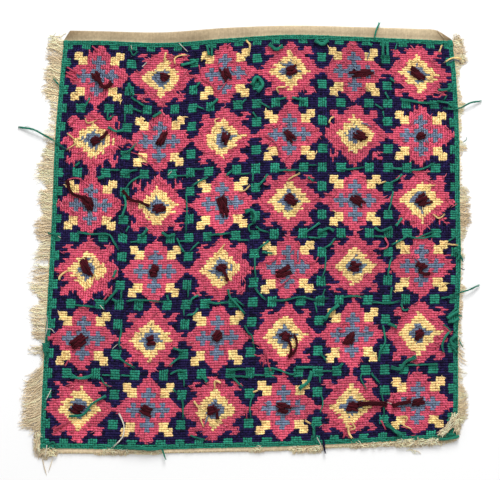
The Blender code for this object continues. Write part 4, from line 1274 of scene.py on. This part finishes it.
class NEEDLEPOINT_OT_fringe(bpy.types.Operator):
    """Ravel the left, right and bottom edges of the canvas into crimped threads"""
    bl_idname = "needlepoint.fringe"
    bl_label = "Fringe"

    def execute(self, context):
        threads = context.scene.needlepoint_threads
        wools = context.scene.needlepoint_wools
        finish = thread_material()
        edges = (
            # node, edge, outward, locks, rings, rise
            ("fringe_left", lambda at: cloth_places(-1, at), (-1.0, 0.0), LEFT_LOCKS, 11, 0.6),
            ("fringe_right", lambda at: cloth_places(STITCHES + 1, at), (1.0, 0.0), RIGHT_LOCKS, 9, 0.5),
            ("fringe_bottom", lambda at: cloth_places(at, STITCHES + 1), (0.0, -1.0), BOTTOM_LOCKS, 7, 0.8),
        )
        for order, (node, edge, outward, locks, rings, rise) in enumerate(edges):
            chance = random.Random(threads.seed + order)
            strands = self.threads(threads, wools, edge, np.array(outward), locks, rings, rise, chance)
            piece = strand_piece(node + "_threads", *zip(*strands), finish, sides=3)
            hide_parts(node)
        return {"FINISHED"}

    def threads(self, threads, wools, edge, outward, locks, rings, rise, chance):
        """Threads out of one edge, each parted into its plies and drawn into tufts with its neighbours."""
        first, last = edge(0.0), edge(float(STITCHES))
        length = float(np.linalg.norm(last - first))
        along = (last - first) / length
        count = int(length / threads.pitch)
        strands = []
        tuft_end = 0.0
        for index in range(count):
            station = STITCHES * (index + 0.5 + chance.gauss(0, 0.12)) / count
            if station > tuft_end:
                tuft_end = station + chance.uniform(0.8, 2.6)
                lean = chance.gauss(0, 0.07)
                tuft_reach = chance.uniform(0.82, 1.1)
                tuft_tone = chance.uniform(0.88, 1.1)
            stations, *values = zip(*locks)
            reach, drift, cover, curl, brown = (float(np.interp(station, stations, value))
                                                for value in values)
            across, down = (reach + ROOTS + STRIP) * MM * tuft_reach, drift * MM
            heading = math.atan2(down, across) + lean
            for ply in range(threads.plies):
                if chance.random() > cover:
                    continue
                flying = chance.random() < 0.12
                stretch = chance.uniform(1.0, 1.25) if flying else 1 - 0.5 * chance.random()**2
                path = self.ply(threads, heading + chance.gauss(0, 0.12), math.hypot(across, down) * stretch,
                                curl * (2 if flying else 1), rings, chance)
                flat = edge(station) + (path[:, :1] - ROOTS * MM) * outward + path[:, 1:] * along
                layer = ply / threads.plies
                level = rise * (0.3 + 2.6 * layer) * chance.uniform(0.6, 1.1) * MM
                f = np.linspace(0, 1, rings)
                bow = level * np.sin(math.pi * (0.25 + 0.6 * f))
                height = np.maximum(threads.radius, 0.8 * MM * (1 - f) + bow)
                # Lower plies are painted darker and browner, upper plies lighter: painted shade in the tuft's
                # depths and painted light on its top; the lock's brown is added to it.
                tone = tuft_tone * chance.uniform(0.85, 1.15) * (1 + 0.2 * layer)
                radius = (0.55 if flying else chance.uniform(0.8, 1.3)) * threads.radius
                brown_and_shade = 0.65 * brown + 0.1 * (1 - layer)**2 + chance.gauss(0, 0.08)
                strands.append((np.concatenate([flat, height[:, None]], axis=1),
                                radius * np.interp(f, (0, 0.8, 1), (1, 1, 0.4)),
                                browned(wools, brown_and_shade, tone)))
        return strands

    def ply(self, threads, heading, length, curl, rings, chance):
        """A ply's flat path: outwards along X, along the edge on Y; it leaves steeply and levels out."""
        f = np.linspace(0, 1, rings)
        path = curled((0, chance.gauss(0, 0.2 * MM)), heading * (1.5 - f), length, curl, rings, chance)
        path[:, 1] += threads.crimp * np.sin(math.tau * (chance.random() + length * f / threads.wave)) * f
        return path


class NEEDLEPOINT_OT_frays(bpy.types.Operator):
    """Lay the canvas threads that have come away and lie loose at the edges"""
    bl_idname = "needlepoint.frays"
    bl_label = "Frays"

    radius: length_setting("Radius", "Radius of one loose canvas thread", 0.36 * MM)

    def execute(self, context):
        wools = context.scene.needlepoint_wools
        chance = random.Random(FRAY_SEED)
        f = np.linspace(0, 1, FRAY_RINGS)
        strands = []
        for x0, y0, x1, y1, width, height, count, length, curl, brown in FRAYS:
            line, line_length = math.atan2(y1 - y0, x1 - x0), math.hypot(x1 - x0, y1 - y0)
            first, last = np.array((x0, y0)), np.array((x1, y1))
            square = np.array((-math.sin(line), math.cos(line)))
            for _ in range(count):
                reach = length * chance.uniform(0.7, 1.1)
                spare = max(0.0, 1 - reach / line_length)
                at, aside = 0.5 + spare * chance.uniform(-0.5, 0.5), chance.uniform(-0.5, 0.5) * width
                middle = first + (last - first) * at + square * aside
                heading = line + chance.gauss(0, 0.3 * curl)
                flat = curled((0, 0), heading, reach * MM, curl, FRAY_RINGS, chance)
                flat += middle * MM - flat[FRAY_RINGS // 2]
                layer = chance.random()
                level = (height - 1 + 1.2 * layer) * MM + chance.uniform(0, 0.7) * MM * np.sin(math.pi * f)
                radius = self.radius * chance.uniform(0.6, 1.1)
                # Lower threads are painted browner and darker, upper ones lighter: painted shade under the
                # clump and painted light on its top; the line's brown is added to it.
                brown_and_shade = 0.6 * brown + 0.4 * (1 - layer)**2 + chance.gauss(0, 0.1)
                tone = (0.75 + 0.7 * layer) * chance.uniform(0.85, 1.2)
                strands.append((np.concatenate([flat, np.maximum(self.radius, level)[:, None]], axis=1),
                                radius * np.interp(f, (0, 0.15, 0.85, 1), (0.5, 1, 1, 0.4)),
                                browned(wools, brown_and_shade, tone)))
        piece = strand_piece("frays", *zip(*strands), thread_material(), sides=3)
        return {"FINISHED"}


class NEEDLEPOINT_OT_declare(bpy.types.Operator):
    bl_idname = "needlepoint.declare"
    bl_label = "Declare cloth"

    def execute(self, context):
        return {"FINISHED"}


class NEEDLEPOINT_OT_stage(bpy.types.Operator):
    """Set the pale floor, the soft light and the camera straight above"""
    bl_idname = "needlepoint.stage"
    bl_label = "Stage"

    def execute(self, context):
        stage = context.scene.needlepoint_stage
        self.floor()
        self.lights(stage)
        self.camera(stage)
        context.scene.view_settings.view_transform = "Standard"
        return {"FINISHED"}

    def floor(self):
        bm = bmesh.new()
        bmesh.ops.create_grid(bm, x_segments=1, y_segments=1, size=FLOOR_SIZE)
        bmesh.ops.translate(bm, verts=bm.verts, vec=(0, 0, -FLOOR_DROP))
        material, _, _ = matt_material("pale floor", FLOOR_COLOUR, 0.9, 0.1)
        mesh = mesh_of(bm, "floor", smooth=False)
        mesh.materials.append(material)
        floor = bpy.data.objects.new("floor", mesh)
        bpy.context.scene.collection.objects.link(floor)

    def lights(self, stage):
        world = bpy.data.worlds.new("soft surroundings")
        world.use_nodes = True
        background = world.node_tree.nodes["Background"]
        background.inputs["Color"].default_value = (1.0, 1.0, 1.0, 1.0)
        background.inputs["Strength"].default_value = stage.fill
        bpy.context.scene.world = world
        light = bpy.data.lights.new("key", "AREA")
        light.shape = "DISK"
        light.size = LAMP_SIZE
        light.energy = stage.key_power
        lamp = bpy.data.objects.new("key", light)
        lamp.location = LAMP_PLACE
        lamp.rotation_euler = (-Vector(LAMP_PLACE)).to_track_quat("-Z", "Y").to_euler()
        bpy.context.scene.collection.objects.link(lamp)

    def camera(self, stage):
        """The camera straight above; its middle sees a point just left of and above the origin."""
        data = bpy.data.cameras.new("camera")
        data.sensor_width = SENSOR_WIDTH
        data.lens = SENSOR_WIDTH * (stage.camera_height - WORKED_THICK) / stage.view_width
        data.clip_end = VIEW_LIMIT
        camera = bpy.data.objects.new("camera", data)
        camera.location = (*VIEW_MIDDLE, stage.camera_height)
        bpy.context.scene.collection.objects.link(camera)
        bpy.context.scene.camera = camera


class NEEDLEPOINT_PT_pieces(bpy.types.Panel):
    """Lists the operators in the order in which the panel is made"""
    bl_idname = "NEEDLEPOINT_PT_pieces"
    bl_label = "Needlepoint panel"
    bl_space_type = "VIEW_3D"
    bl_region_type = "UI"
    bl_category = "Needlepoint"

    def draw(self, context):
        for operator in OPERATORS:
            self.layout.operator(operator.bl_idname)
        for name in SETTINGS:
            settings = getattr(context.scene, name)
            box = self.layout.box()
            for setting in settings.bl_rna.properties:
                if setting.identifier not in {"rna_type", "name"}:
                    box.prop(settings, setting.identifier)


OPERATORS = (NEEDLEPOINT_OT_canvas, NEEDLEPOINT_OT_stitches, NEEDLEPOINT_OT_loose_stitches,
             NEEDLEPOINT_OT_knots, NEEDLEPOINT_OT_yarns, NEEDLEPOINT_OT_fringe, NEEDLEPOINT_OT_frays,
             NEEDLEPOINT_OT_declare, NEEDLEPOINT_OT_stage)
SETTINGS = {
    "needlepoint_wools": NeedlepointWools,
    "needlepoint_stitches": NeedlepointStitches,
    "needlepoint_threads": NeedlepointThreads,
    "needlepoint_stage": NeedlepointStage,
}
CLASSES = (*SETTINGS.values(), *OPERATORS, NEEDLEPOINT_PT_pieces)


def register():
    for item in CLASSES:
        bpy.utils.register_class(item)
    for name, group in SETTINGS.items():
        setattr(bpy.types.Scene, name, bpy.props.PointerProperty(type=group))


def unregister():
    for name in SETTINGS:
        delattr(bpy.types.Scene, name)
    for item in reversed(CLASSES):
        bpy.utils.unregister_class(item)


def main():
    register()
    bpy.ops.needlepoint.canvas()
    bpy.ops.needlepoint.stitches()
    bpy.ops.needlepoint.loose_stitches()
    bpy.ops.needlepoint.knots()
    bpy.ops.needlepoint.yarns()
    bpy.ops.needlepoint.fringe()
    bpy.ops.needlepoint.frays()
    bpy.ops.needlepoint.declare()
    bpy.ops.needlepoint.stage()


if __name__ == "__main__":
    main()
